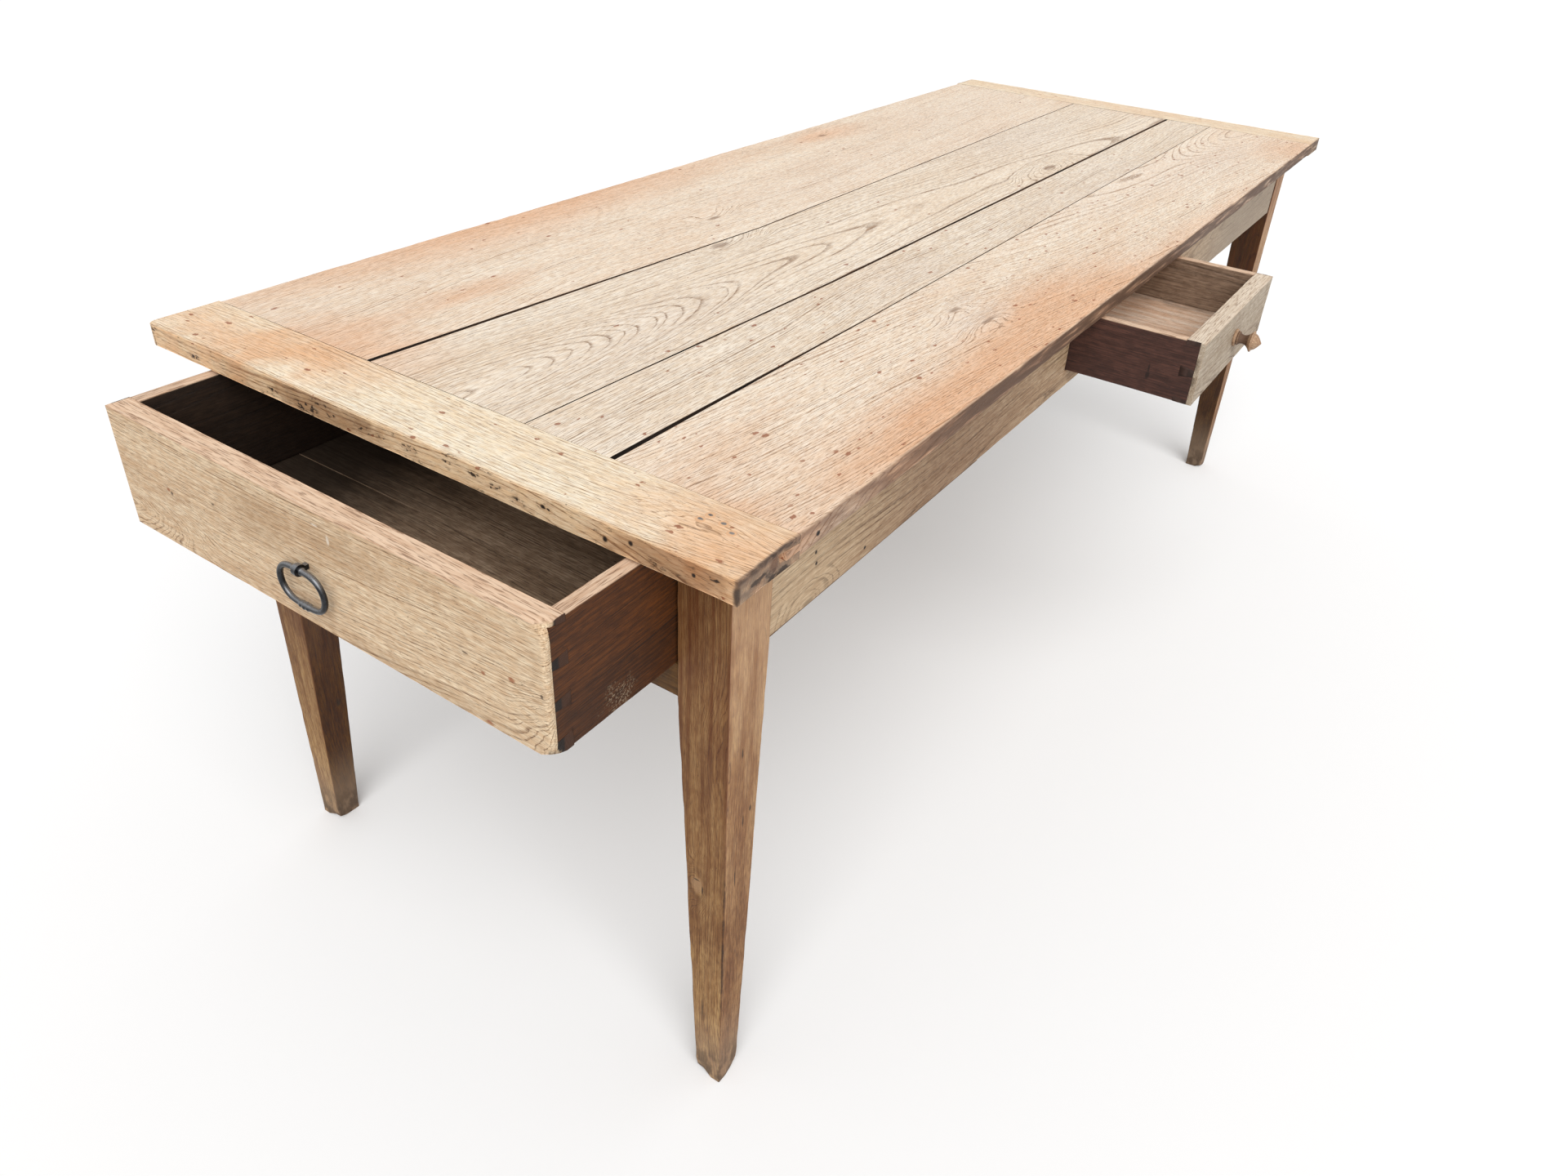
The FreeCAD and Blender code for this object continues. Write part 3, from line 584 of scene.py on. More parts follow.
def top_patina():
    """How warm or pale the scrubbed top is: patches, each a middle and half sizes in cm and a strength."""
    tree, given, made = node_group("top_patina", {"Place": "Vector"}, ("Warm", "Pale"))
    stray = wander(given["Place"], (160, 50, 50), 3.0, (0.14, 0.05, 0))
    place = vector("ADD", given["Place"], stray)
    patches = {
        "Warm": (
            (-22, -31, 36, 10.5, 1.0), (-66, -30, 16, 7, 0.6),
            (-60, -34, 34, 8, 0.55), (-36, -28, 34, 9, 0.35),
            (-91, -28, 7, 13, 0.9), (-91.5, 35, 5, 16, 0.9),
            (-85, 27, 8, 12, 0.8), (-40, 49, 55, 11, 1.0),
            (-67, 29, 12, 3, 0.6), (33, 43, 12, 4.5, 0.7),
            (93, -30, 14, 8, 0.6), (35, -33, 45, 5, 0.5),
            (104, 10, 5, 40, 0.4), (-80, -20, 12, 10, 0.25),
        ),
        "Pale": (
            (-60, 6, 24, 7, 0.8), (-25, -7, 18, 6, 0.7),
            (38, -11, 36, 10, 0.8), (58, 15, 30, 12, 0.8),
            (-33, -20, 10, 4.5, 0.9), (10, 27, 40, 10, 0.5),
            (70, 35, 40, 12, 0.6), (70, -20, 30, 8, 0.9),
        ),
    }
    for label, laid in patches.items():
        total = 0.0
        for x, y, half_length, half_width, much in laid:
            reach = ellipse(place, (x, y), (half_length, half_width), 10 * mm)
            total = calc("MULTIPLY_ADD", rise(reach, 1.35, 0.0), much, total)
        tree.links.new(calc("MINIMUM", total, 1.0), made[label])
    return tree


patches_of_top = top_patina()


def patinated(spot, colour):
    """The wood's colour with the top's warm and pale patches laid over it."""
    laid = node("Group", {"Place": spot}, node_tree=patches_of_top).node.outputs
    colour = mix(laid["Warm"], colour, paint(245, 213, 192), "MULTIPLY")
    return stain(colour, laid["Pale"], 0.5, (240, 229, 217))


top_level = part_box("top_board_2")[1].z
under_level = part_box("top_board_2")[0].z
outer_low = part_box("near_breadboard")[0]
outer_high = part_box("far_breadboard")[1]
skin = 0.2 * mm
long_arris = 60
rim_rounding = 3.2
joint_rounding = 0.9


def on_rim(middle):
    """Along the outside of the whole top."""
    to_end = min(middle.x - outer_low.x, outer_high.x - middle.x)
    to_side = min(middle.y - outer_low.y, outer_high.y - middle.y)
    return min(to_end, to_side) < skin


def on_face(middle):
    """On the top's upper or lower face."""
    return min(abs(middle.z - top_level), abs(middle.z - under_level)) < skin


def within(value, low, high):
    """1 well inside two limits of the top and 0 at them and outside."""
    return both(ramp(value, low, 8, 12), ramp(value, high, -8, -12))


def top_dirt_and_gap_shade(spot, colour):
    """Painted black shade in the gaps, a greyed right arris, and pits and stains along the near edge."""
    along, across, level = (axis_of(spot, axis) for axis in "XYZ")
    # Painted shade: the walls of the gaps and the board edges below the top face are painted near black.
    tilt = calc("ABSOLUTE", axis_of(node("NewGeometry", {}, "Normal", spot.id_data), "Z"))
    below = ramp(level, top_level, -1.7, -2.8)
    wall = calc("MAXIMUM", rise(tilt, 0.75, 0.45), below)
    painted_gap_shade = both(wall, ramp(level, under_level, 1, 3),
                within(along, outer_low.x, outer_high.x), within(across, outer_low.y, outer_high.y))
    colour = mix(painted_gap_shade, colour, paint(20, 15, 11))
    front = facing(spot, "Y", -0.6, -0.9)
    colour = mix(front, colour, paint(231, 225, 222), "MULTIPLY")
    right = both(ramp(across, outer_low.y, 5, 1), rise(cloud(spot, (50, 10, 10), 4.0), 0.36, 0.62))
    colour = stain(colour, right, 0.6, (124, 92, 74))
    streaks = rise(cloud(spot, (90, 20, 6), 4.0), 0.26, 0.52)
    colour = stain(colour, both(front, rise(along, -0.95, -0.50), streaks), 0.9, (86, 62, 46))
    near = ramp(along, outer_low.x, 7, 1)
    blotch = rise(cloud(spot, (20, 35, 12), 4.0), 0.56, 0.68)
    pits = rise(cloud(spot, (4, 5, 3), 2.0), 0.53, 0.60)
    colour = stain(colour, near, 0.8, (238, 216, 191), "MULTIPLY")
    pitted = both(near, blotch, calc("MULTIPLY_ADD", pits, 0.75, 0.12))
    return mix(pitted, colour, paint(48, 34, 24))


edge_x, edge_y, edge_z = outer_low.x / mm, outer_low.y / mm, top_level / mm
joint_end = Vector((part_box("top_board_4")[0].x, outer_low.y, top_level - 10 * mm))
torn = [(joint_end.x / mm - 14, edge_y, edge_z - 10, 12, 10, 12)]
broken_corner = [(edge_x, edge_y, edge_z - 14, 7, 7, 14)]
front_hole = [(-842, edge_y, 747, 4, 4, 4)]
edge_stains = [(edge_x, y, 748, 8, half_length, 26) for y, half_length in ((180, 110), (-250, 100))]
edge_holes = ((-180, 745, 4, 4), (-208, 752, 3.5, 3.5), (-273, 748, 3, 3), (-110, 750, 4, 3))
edge_pits = (
    (212, 744, 26, 9), (172, 747, 10, 5), (98, 748, 6, 4), (60, 748, 14, 5), (10, 752, 8, 3),
    (-25, 752, 10, 4), (-52, 748, 14, 5), (-80, 744, 13, 6), (-112, 750, 12, 6), (-233, 742, 12, 5),
    (-293, 752, 8, 3), (262, 746, 12, 4), (401, 744, 14, 4),
)
pit_black = (36, 26, 20)


def on_near_edge(places):
    """Rows of marks on the near edge, from how far across and up they lie and their half sizes."""
    return [(edge_x, y, z, 4, *half_sizes) for y, z, *half_sizes in places]


def torn_joint(spot, colour):
    """The torn brown end of the joint at the long front edge."""
    return stain(colour, marks(spot, torn, 14, 0.5), 0.6, (84, 50, 36))


def end_grime(spot, colour):
    """The near breadboard's worn corner: greyed end grain with black patches, besides the rest."""
    colour = top_dirt_and_gap_shade(spot, colour)
    stained = both(facing(spot, "X", -0.4, -0.9), marks(spot, edge_stains, 20, 0.5))
    colour = mix(stained, colour, paint(202, 191, 183), "MULTIPLY")
    across = axis_of(spot, "Y")
    ends = ramp(across, outer_low.y, 5, 1)
    grey = both(ends, rise(cloud(spot, (20, 20, 20), 3.0), 0.3, 0.6))
    colour = stain(colour, grey, 0.75, (120, 104, 90))
    black = both(ends, rise(cloud(spot, (30, 30, 12), 4.0), 0.53, 0.60))
    colour = stain(colour, black, 0.85, (40, 31, 28))
    rim = both(ramp(across, outer_low.y, 4, 1), ramp(axis_of(spot, "Z"), top_level, -7, -3),
               rise(cloud(spot, (20, 20, 20), 4.0), 0.36, 0.56))
    colour = stain(colour, rim, 0.85, (70, 52, 44))
    colour = stain(colour, marks(spot, broken_corner, 12), 0.8, (52, 41, 36))
    patches = marks(spot, on_near_edge(edge_pits), 14, 0.55)
    colour = stain(colour, patches, 0.3, (150, 108, 74))
    bites = rise(cloud(spot, (5, 6, 3), 3.0), 0.50, 0.56)
    colour = stain(colour, both(patches, bites), 0.95, pit_black)
    colour = mix(marks(spot, on_near_edge(edge_holes), 5, 0.15), colour, paint(*pit_black))
    return torn_joint(spot, colour)


def split_grime(spot, colour):
    """The front board of the top besides the rest: the torn joint and a nail hole in the front edge."""
    colour = top_dirt_and_gap_shade(spot, colour)
    colour = mix(marks(spot, front_hole, 6), colour, paint(30, 23, 18))
    return torn_joint(spot, colour)


# Only a ragged spot of each nail's head is bare, and the board's colour covers the rest.
nail_insets = ((7, 41), (17, 38), (13, 21), (5, 7))
nail_places = [(leg_corner.x + inset_x * mm, leg_corner.y + inset_y * mm) for inset_x, inset_y in nail_insets]
top_nail_iron = iron("top_nail_iron", (96, 92, 90), (140, 132, 124), rough=0.6, metallic=0.2)
tree = top_nail_iron.node_tree
spot = node("TexCoord", {}, "Object", tree)
covered = 1.0
for nail_place in nail_places:
    reach = ellipse(spot, nail_place, (2 / 3, 1))
    ragged = calc("MULTIPLY_ADD", cloud(spot, (3, 3, 3)), 3 * mm, reach)
    covered = calc("MULTIPLY", covered, rise(ragged, 3.2 * mm, 4.8 * mm))
bare = tree.nodes["Principled BSDF"].inputs["Base Color"]
tree.links.new(mix(covered, bare.links[0].from_socket, paint(222, 178, 138)), bare)
dress("top_nails", top_nail_iron)

boards = {
    "near_breadboard": ("YXZ", bread_tone, (110, -60), (0.0, 0.015), 2.6, [Knot(-238, -898, 90, 34, 18, 0.0)],
                        0.30, (), end_grime),
    "far_breadboard": ("YXZ", bread_tone, (-110, -60), (0.0, 0.01), 2.6, (), 0.1, (), top_dirt_and_gap_shade),
    "top_board_1": ("XYZ", warm_board, (-190, -80), (0.02, 0.0), 2.8,
                    [Knot(-230, 264, 100, 35, 20, 0.8), Knot(326, 428, 90, 30, 14, 0.8)],
                    0.08, (260, 310, 360, 410, 450, 472), top_dirt_and_gap_shade),
    "top_board_2": ("XYZ", grey_board, (-45, -133), (-0.06, -0.01), 3.4,
                    [Knot(-960, 78, 600, 130, -42, 0.0), Knot(-320, 180, 130, 55, 38, 0.8),
                     Knot(426, 9, 160, 50, 30, 0.8)], 0.04, (40, 90, 140), top_dirt_and_gap_shade),
    "top_board_3": ("XYZ", grey_board, (150, -90), (0.0, 0.01), 3.0, (), 0.24, (-65,), top_dirt_and_gap_shade),
    "top_board_4": ("XYZ", warm_board, (150, -110), (-0.10, 0.04), 3.2,
                    [Knot(-322, -180, 80, 30, 16, 0.8), Knot(-324, -229, 100, 30, 20, 0.8)],
                    0.26, (-305, -283, -250, -200, -150), split_grime),
}
for index, (board, row) in enumerate(boards.items()):
    axes, tone, pith, lean, ring, knots, flecks, cuts, grime_and_shade = row
    at_near_end = board == "near_breadboard"
    work = joined_copy(board)
    if at_near_end:
        plug(work, nail_places, radius=5 * mm)
    soften(work, arrises(work, long_arris, lambda m: on_face(m) and on_rim(m)), rim_rounding, segments=4)
    soften(work, arrises(work, long_arris, lambda m: on_face(m) and not on_rim(m)), joint_rounding,
           segments=2, wear=0.15)
    cut_grid(work, (16, 12, 0) if board.endswith("breadboard") else (12, 0, 0))
    cut_at(work, 1, [y * mm for y in cuts])
    weather(work, hollow=0.5, rub=1.5, seed=41.0 + index)
    if at_near_end:
        chip(work, joint_end, 16, (-7, 3, 0))
    wood = oak(board, axes, tone, pith, lean, ring, seed=41.0 + index, knots=knots,
               strength=1.1 if at_near_end else 1.15, flecks=flecks,
               worm=0.06 if at_near_end else 0.05, patina=patinated, grime_and_shade=grime_and_shade)
    settle(work, board, "table", wood)

# Wide end drawer
# A pale scrubbed oak front, sides dovetailed into it behind a lap, a back housed in the sides, and three
# thin boards nailed up into rebates for a bottom. Dark and unfinished behind the front, with painted shade
# inside.
front_tone = Tone((248, 226, 193), (217, 186, 150), (132, 94, 62), (80, 54, 34), (222, 188, 156))
dark_tone = Tone((110, 61, 21), (66, 35, 10), (44, 23, 9), (28, 17, 11), (92, 64, 44))
# Near black for the side towards the back: partly dark wood, partly painted shade inside the drawer.
black_tone = Tone((60, 45, 34), (40, 29, 22), (34, 24, 18), (22, 15, 11), (70, 50, 38))
inside_tone = Tone((202, 175, 148), (146, 121, 97), (80, 60, 44), (44, 31, 22), (140, 112, 88))


def rough_edge(level, axes, pale=(232, 202, 174), deep=(212, 176, 146)):
    """Paint for a drawer's top edges: sawn and rubbed pale and pinkish, with open pores along the grain."""
    along = Vector([40 if axis == axes[0] else 2.4 for axis in "XYZ"])

    def laid(spot, colour):
        upper = ramp(axis_of(spot, "Z"), level, -2.4, -0.8)
        tone = mix(rise(cloud(spot, along, 3.0), 0.35, 0.65), paint(*pale), paint(*deep))
        open_pores = rise(cloud(spot, along * 0.5, 2.0), 0.54, 0.64)
        tone = stain(tone, open_pores, 0.72, (124, 90, 68))
        return mix(calc("MULTIPLY", upper, 0.9), colour, tone)
    return laid


def lapped_front(node_name, axes, lap, socket, pin, rough):
    """Paint for a drawer front: rough top edge, and dark dovetail sockets behind the lap at both ends."""
    axis, lap_axis = axes[0], axes[2]
    low, high = (limit["XYZ".index(axis)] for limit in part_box(node_name))
    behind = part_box(node_name)[0]["XYZ".index(lap_axis)] + lap

    def laid(spot, colour):
        colour = rough(spot, colour)
        along = axis_of(spot, axis)
        ends = calc("MAXIMUM", ramp(along, low, 1.6, 0.8), ramp(along, high, -1.6, -0.8))
        depth = axis_of(spot, lap_axis)
        inner = both(ends, ramp(depth, behind, -0.6, 0.2))
        colour = mix(inner, colour, paint(*pin))
        return stain(colour, both(inner, ramp(depth, behind, 9, 6)), 0.97, socket)
    return laid


drawer_lap = 7 * mm
end_front_low, end_front_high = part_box("end_drawer_front")
lapped_end_front = lapped_front("end_drawer_front", "YZX", drawer_lap, socket=(26, 18, 14), pin=(66, 40, 25),
                                rough=rough_edge(end_front_high.z, "YZX"))
brown_stains = ((25, 701, 75, 26), (150, 690, 60, 40), (-60, 604, 160, 12))
rust_flecks = ((-173, 663, 5, 3.5), (-140, 653, 4, 2.5), (-141, 600, 6, 3), (300, 666, 4, 3))
dark_spots = ((295, 663, 3, 3), (-120, 665, 5, 1.5), (-207, 662, 2, 3), (222, 678, 3, 1.5))
pale_scratches = ((44, 708, 2.5, 8), (60, 718, 7, 1.5))
front_marks = (
    ((150, 116, 80), 0.28, 16, brown_stains),
    ((150, 84, 46), 0.8, 8, rust_flecks),
    ((60, 42, 28), 0.8, 8, dark_spots),
    ((238, 228, 212), 0.6, 8, pale_scratches),
)
paint_specks = [(-984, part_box("end_drawer_side_front")[0].y / mm, 613, 26, 6, 20)]


def marked_front(spot, colour):
    """The wide front's own marks over the rest: brown stains, rust flecks, dark spots and pale scratches."""
    colour = lapped_end_front(spot, colour)
    face = end_front_low.x / mm
    for tint, much, lump, places in front_marks:
        spread = [(face, y, z, 6, *half_sizes) for y, z, *half_sizes in places]
        colour = stain(colour, marks(spot, spread, lump, 0.6), much, tint)
    return colour


def speckled_side(spot, colour):
    """The wide drawer's front side: rough top edge, and old pale paint specks low down."""
    colour = rough_edge(end_front_high.z, "XZY")(spot, colour)
    specks = rise(cloud(spot, (1.8, 1.8, 1.8), 2.0), 0.50, 0.64)
    return stain(colour, both(marks(spot, paint_specks, 12, 0.8), specks), 0.55, (176, 156, 130))


def shaded_bottom(spot, colour):
    """The wide drawer's bottom boards: painted shade, near black away from the long front, on the faces that
    look up.
    """
    # Painted shade: darkens the bottom towards the back, under the table's top.
    streaks = cloud(spot, (12, 60, 12), 4.0)
    reach = calc("MULTIPLY_ADD", streaks, 0.12, axis_of(spot, "Y"))
    return stain(colour, both(rise(reach, 0.14, 0.36), facing(spot, "Z", 0.3, 0.8)), 0.9, (28, 20, 14))


def drawer_board(board, body, row, level, rub, seed, strength=1.0, knots=(), worn=None, chips=()):
    """Makes one board of a drawer from its row of axes, tone, pith, rounding, grid and finish.
    Worn tells which arrises are rubbed rounder than the rest, and chips where and how corners broke."""
    axes, tone, pith, rounding, grid, finish = row
    work = joined_copy(board)
    if worn:
        soften(work, arrises(work, long_arris, worn), radius=6, segments=5)
    soften(work, arrises(work, long_arris), rounding)
    cut_grid(work, [1.5 * grid if axis == axes[0] else grid for axis in "XYZ"])
    weather(work, hollow=0.4, rub=rub, seed=seed)
    for corner, push in chips:
        chip(work, corner, 15, push)
    wood = oak(board, axes, tone, pith, lean=(0.02, 0.03), ring=3.0, seed=seed, knots=knots,
               strength=strength, grime_and_shade=finish or rough_edge(level, axes))
    settle(work, board, body, wood)


end_drawer = {
    "end_drawer_front": ("YZX", front_tone, (-110, 50), 2.2, 9, marked_front),
    "end_drawer_side_front": ("XZY", dark_tone, (150, 60), 1.2, 12, speckled_side),
    "end_drawer_side_back": ("XZY", black_tone, (40, 70), 1.2, 12, None),
    "end_drawer_back": ("YZX", inside_tone, (30, 60), 1.2, 20, None),
    "end_drawer_bottom_1": ("YXZ", inside_tone, (260, 60), 0.6, 24, shaded_bottom),
    "end_drawer_bottom_2": ("YXZ", inside_tone, (-240, 60), 0.6, 24, shaded_bottom),
    "end_drawer_bottom_3": ("YXZ", inside_tone, (250, 60), 0.6, 24, shaded_bottom),
}
front_wear = {
    "knots": (Knot(385, 628, 170, 60, -60, 0.0), Knot(-225, 637, 60, 60, -18, 0.0)),
    "worn": lambda m: m.x < end_front_low.x + skin and m.y < end_front_low.y + skin,
    "chips": (((end_front_low.x, end_front_low.y, end_front_high.z), (3, 4, -4)),
              (end_front_low, (2, 3, 3))),
}
for index, (board, row) in enumerate(end_drawer.items()):
    wear = front_wear if board == "end_drawer_front" else {}
    drawer_board(board, "end_drawer", row, end_front_high.z, rub=1.2, seed=61.0 + index, strength=1.2,
                 **wear)

# Dark iron with a pale grey painted highlight on its upward faces.
forged_iron = iron("forged_iron", (16, 16, 18), (44, 46, 50), rough=0.16, metallic=0.6,
                   rubbed=(138, 139, 142))
work = joined_copy("ring_staple")
soften(work, arrises(work, 2), radius=0.6, segments=2)
settle(work, "ring_staple", "end_drawer", forged_iron)

# Pull ring
# A forged iron ring hanging in its staple: thinned where it bears on the eye, with a collar on each side of
# it and three beads at its foot.
ring_low, ring_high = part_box("pull_ring")
bar_radius = 3.0 * mm
collar_radius = 4.2 * mm
knuckle_radius = 4.4 * mm
bend_radius = (ring_high.z - collar_radius - ring_low.z - knuckle_radius) / 2
straight = (ring_high.y - ring_low.y) / 2 - bar_radius - bend_radius
ring_middle = (ring_low + ring_high) / 2
ring_middle.z = ring_low.z + knuckle_radius + bend_radius
work = bmesh.new()
bmesh.ops.create_circle(work, segments=14, radius=bar_radius)
bmesh.ops.transform(work, matrix=Matrix.Translation((0, bend_radius, 0)), verts=work.verts)
bmesh.ops.spin(work, geom=work.edges[:], cent=(0, 0, 0), axis=(1, 0, 0), dvec=(0, 0, 0),
               angle=math.radians(360), steps=320, use_merge=True)
# A swelling of the bar: its place along it in millimetres, how much and how wide it is.
upper_swellings = ((0, -0.10, 3.4), (5.0, 0.34, 1.5), (-5.0, 0.34, 1.5), (-20, 0.06, 8))
lower_swellings = ((0, 0.40, 2.2), (5.2, 0.3, 1.8), (-5.2, 0.3, 1.8), (14, -0.06, 6))
for vert in work.verts:
    turn = math.atan2(vert.co.z, vert.co.y)
    bar = Vector((0, math.cos(turn), math.sin(turn))) * bend_radius
    section = vert.co - bar
    bar.y += straight * math.tanh(4.0 * bar.y / bend_radius)
    swell = 1 + 0.03 * noise.noise(vert.co * 60)
    for along, much, wide in lower_swellings if bar.z < 0 else upper_swellings:
        swell += much * math.exp(-((bar.y / mm - along) / wide) ** 2)
    vert.co = bar + section * swell
bmesh.ops.translate(work, vec=ring_middle, verts=work.verts)
bmesh.ops.remove_doubles(work, verts=work.verts, dist=joining)
bmesh.ops.recalc_face_normals(work, faces=work.faces)
settle(work, "pull_ring", "ring", forged_iron)

# Small side drawer
# Made as the wide one, of oak, with a greyer front and a bottom slid into grooves under the back. A wedge
# is driven through its near side, and its bottom is browner in streaks and darker towards its corners.
grey_front_tone = Tone((208, 194, 174), (174, 155, 132), (124, 101, 79), (84, 62, 46), (224, 200, 172))
tan_tone = Tone((252, 236, 218), (236, 212, 190), (146, 110, 80), (88, 60, 40), (190, 156, 124))
brown_tone = Tone((170, 144, 122), (138, 114, 94), (84, 64, 48), (48, 34, 25), (150, 124, 100))
plum_tone = Tone((94, 61, 51), (60, 37, 31), (40, 26, 21), (26, 17, 13), (84, 62, 52))
side_front_low, side_front_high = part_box("side_drawer_front")
lapped_side_front = lapped_front("side_drawer_front", "XZY", drawer_lap, socket=(52, 36, 30), pin=(66, 46, 39),
                                 rough=rough_edge(side_front_high.z, "XZY", (228, 211, 190), (204, 182, 158)))
wedge_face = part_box("side_drawer_side_near")[0].x / mm
wedge = ((wedge_face, -384, 671, 2, 3.4, 7), (wedge_face, -384, 681, 2, 1.8, 9))


def wedged_side(spot, colour):
    """The small drawer's near side: a rough top edge, and the dark end of a wedge driven through it."""
    colour = rough_edge(side_front_high.z, "YZX")(spot, colour)
    return stain(colour, marks(spot, wedge, 8), 0.8, (28, 18, 14))


def streaked_bottom_dark_corners(spot, colour):
    """The small drawer's bottom: browner in streaks, and darker towards its corners."""
    low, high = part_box("side_drawer_bottom")
    along = axis_of(spot, "X")
    streaks = rise(cloud(spot, (12, 120, 10), 4.0), 0.35, 0.65)
    colour = stain(colour, streaks, 0.45, (222, 178, 132), "MULTIPLY")
    corners = calc("MAXIMUM", ramp(along, low.x, 45, 5), ramp(along, high.x, -40, -5))
    corners = calc("MAXIMUM", corners, ramp(axis_of(spot, "Y"), low.y, 26, 5))
    darker_corners = both(corners, rise(cloud(spot, (30, 50, 30), 4.0), 0.3, 0.65))
    return stain(colour, darker_corners, 0.75, (84, 62, 46))


side_drawer = {
    "side_drawer_front": ("XZY", grey_front_tone, (-40, 50), 2.0, 9, lapped_side_front),
    "side_drawer_side_near": ("YZX", plum_tone, (140, 60), 1.2, 12, wedged_side),
    "side_drawer_side_far": ("YZX", brown_tone, (30, 60), 1.2, 12, None),
    "side_drawer_back": ("XZY", brown_tone, (30, 60), 1.2, 20, None),
    "side_drawer_bottom": ("YXZ", tan_tone, (260, 60), 0.6, 24, streaked_bottom_dark_corners),
}
for index, (board, row) in enumerate(side_drawer.items()):
    drawer_board(board, "side_drawer", row, side_front_high.z, rub=1.0, seed=81.0 + index)

# Knob
# Turned from one piece of close-grained wood and plugged into the small drawer's front: a flange and bead
# at its base, a drawn-in neck, a thin flat head with a sharp rim, and a pointed end.
knob_low, knob_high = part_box("side_drawer_knob")
knob_axis = (knob_low + knob_high) / 2
knob_profile = (
    (0, 11.5), (1.2, 12.2), (2.6, 12.0), (3.4, 10.6), (4.0, 8.8), (5.0, 9.6), (6.2, 9.5), (7.0, 8.0),
    (9, 6.6), (12, 6.0), (15, 6.6), (18, 8.4), (21, 11.4), (22.6, 13.8), (23.6, 14.5), (24.4, 14.3),
    (25.0, 12.6), (25.6, 11.2), (27, 10.8), (29, 9.6), (32, 6.2), (34.6, 2.4), (35.7, 0.9), (36, 0.0),
)
work = bmesh.new()
outline = [work.verts.new((radius * mm, -out * mm, 0)) for out, radius in knob_profile]
for first, second in zip(outline, outline[1:]):
    work.edges.new((first, second))
bmesh.ops.spin(work, geom=work.verts[:] + work.edges[:], cent=(0, 0, 0), axis=(0, 1, 0), dvec=(0, 0, 0),
               angle=math.radians(360), steps=48, use_merge=True)
bmesh.ops.remove_doubles(work, verts=work.verts, dist=joining)
bmesh.ops.holes_fill(work, edges=work.edges[:])
bmesh.ops.translate(work, vec=(knob_axis.x, side_front_low.y, knob_axis.z), verts=work.verts)
bmesh.ops.recalc_face_normals(work, faces=work.faces)


def knob_grime(spot, colour):
    """Dirt in the knob's neck and grooves."""
    off_axis = vector("MULTIPLY", vector("SUBTRACT", spot, knob_axis), (1, 0, 1))
    neck = both(rise(length(off_axis), 11.0 * mm, 8.5 * mm),
                ramp(axis_of(spot, "Y"), knob_low.y, 6, 12))
    return stain(colour, neck, 0.8, (70, 46, 34))


knob_tone = Tone((216, 186, 154), (172, 136, 106), (112, 80, 58), (72, 48, 34), (196, 160, 130))
wood = oak("side_drawer_knob", "YXZ", knob_tone, pith=(30, 40), ring=1.6, seed=95.0, worm=0.0,
           grime_and_shade=knob_grime, name="knob_wood")
settle(work, "side_drawer_knob", "side_drawer", wood)

# Floor, light and camera
# A plain pale floor under soft light from all round, with one broad soft light high on the right, and the
# camera to one side of the near end, a little above the top.
def shown(tree):
    """1 for what the camera sees, also in a gloss or through glass, and 0 for what only lights the table."""
    path = tree.nodes.new("ShaderNodeLightPath").outputs
    mirrored = calc("MAXIMUM", path["Is Glossy Ray"], path["Is Transmission Ray"])
    return calc("MAXIMUM", path["Is Camera Ray"], mirrored)


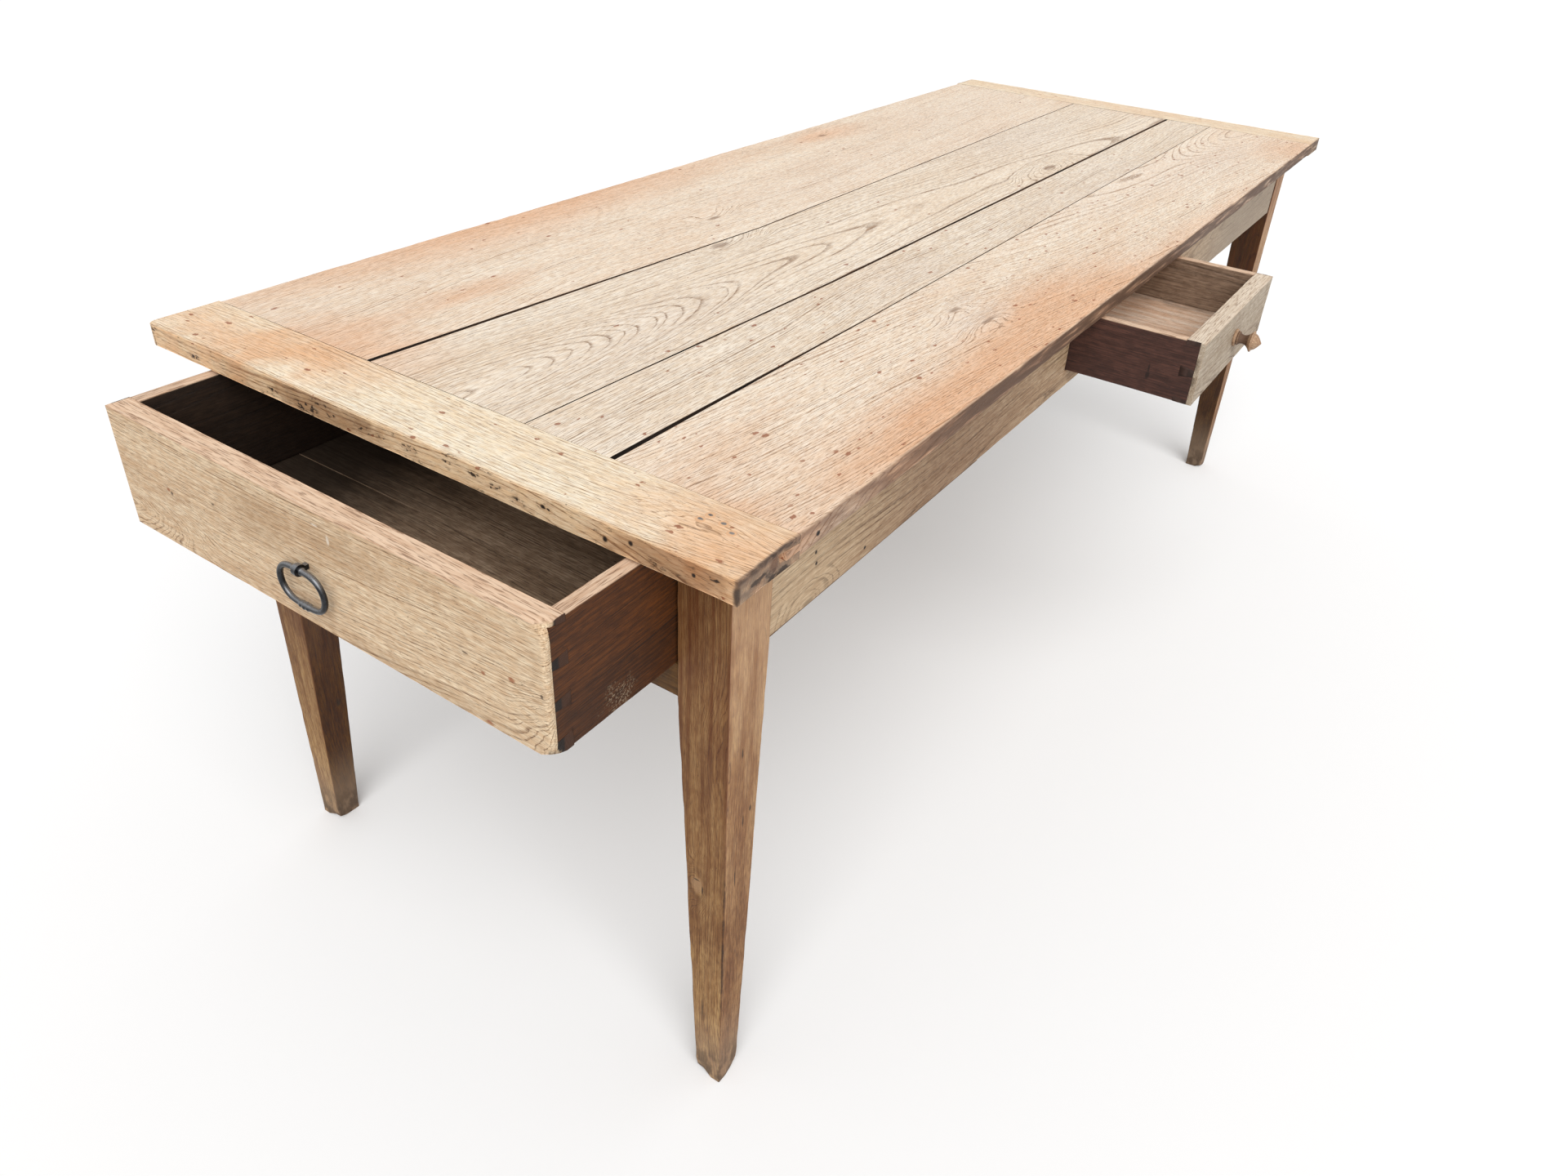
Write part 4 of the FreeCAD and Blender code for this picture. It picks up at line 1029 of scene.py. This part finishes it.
floor_lighting = (0.55, 0.55, 0.55, 1)
floor_shown = (0.95, 0.95, 0.95, 1)
floor_half_size = 40.0
floor_mesh = bmesh.new()
bmesh.ops.create_grid(floor_mesh, x_segments=1, y_segments=1, size=floor_half_size)
floor_data = bpy.data.meshes.new("floor")
floor_mesh.to_mesh(floor_data)
floor_mesh.free()
floor = placed("floor", floor_data)
floor_paint = bpy.data.materials.new("pale_floor")
floor_paint.use_nodes = True
tree = floor_paint.node_tree
floor_shader = tree.nodes["Principled BSDF"]
tree.links.new(mix(shown(tree), floor_lighting, floor_shown), floor_shader.inputs["Base Color"])
from_below = node("NewGeometry", {}, "Backfacing", tree)
clear = node("BsdfTransparent", {}, tree=tree)
one_sided = node("MixShader", {0: from_below, 1: floor_shader.outputs[0], 2: clear})
tree.links.new(one_sided, tree.nodes["Material Output"].inputs["Surface"])
floor_shader.inputs["Roughness"].default_value = 0.9
floor_shader.inputs["Specular IOR Level"].default_value = 0.0
floor_data.materials.append(floor_paint)

sky_level = 0.58
world = bpy.data.worlds.new("soft_light")
world.use_nodes = True
tree = world.node_tree
background = tree.nodes["Background"].inputs
background["Color"].default_value = (1.0, 1.0, 1.0, 1.0)
glow = node("MapRange", {"Value": shown(tree), "To Min": sky_level, "To Max": 1.0})
tree.links.new(glow, background["Strength"])
bpy.context.scene.world = world

lamp_direction = Vector((0.55, 0.45, -0.70))
lamp = bpy.data.lights.new("soft_sun", "SUN")
lamp.energy = 2.35
lamp.angle = math.radians(55)
lamp_object = placed("soft_sun", lamp)
lamp_object.rotation_euler = lamp_direction.to_track_quat("-Z", "Y").to_euler()

top_middle = (outer_low + outer_high) / 2
camera_from_top = Vector((-1.5986, -0.8078, 0.5074))
yaw, pitch, roll = 1.01083, 0.55794, 0.06016
picture_width, picture_height = 1920, 1440
focal_pixels = 1375.15
centre_x, centre_y = 968.86, 644.05
sensor_width = 36.0
camera = bpy.data.cameras.new("camera")
camera.sensor_width = sensor_width
camera.lens = focal_pixels * sensor_width / picture_width
camera.shift_x = 0.5 - centre_x / picture_width
camera.shift_y = (centre_y - picture_height / 2) / picture_width
camera.clip_start = 0.05
camera_object = placed("camera", camera)
camera_object.location = top_middle + camera_from_top
level_look = Matrix.Rotation(-yaw, 3, "Z") @ Matrix.Rotation(math.pi / 2 - pitch, 3, "X")
camera_object.rotation_euler = (level_look @ Matrix.Rotation(roll, 3, "Z")).to_euler()
bpy.context.scene.camera = camera_object
bpy.context.scene.view_settings.view_transform = "Standard"
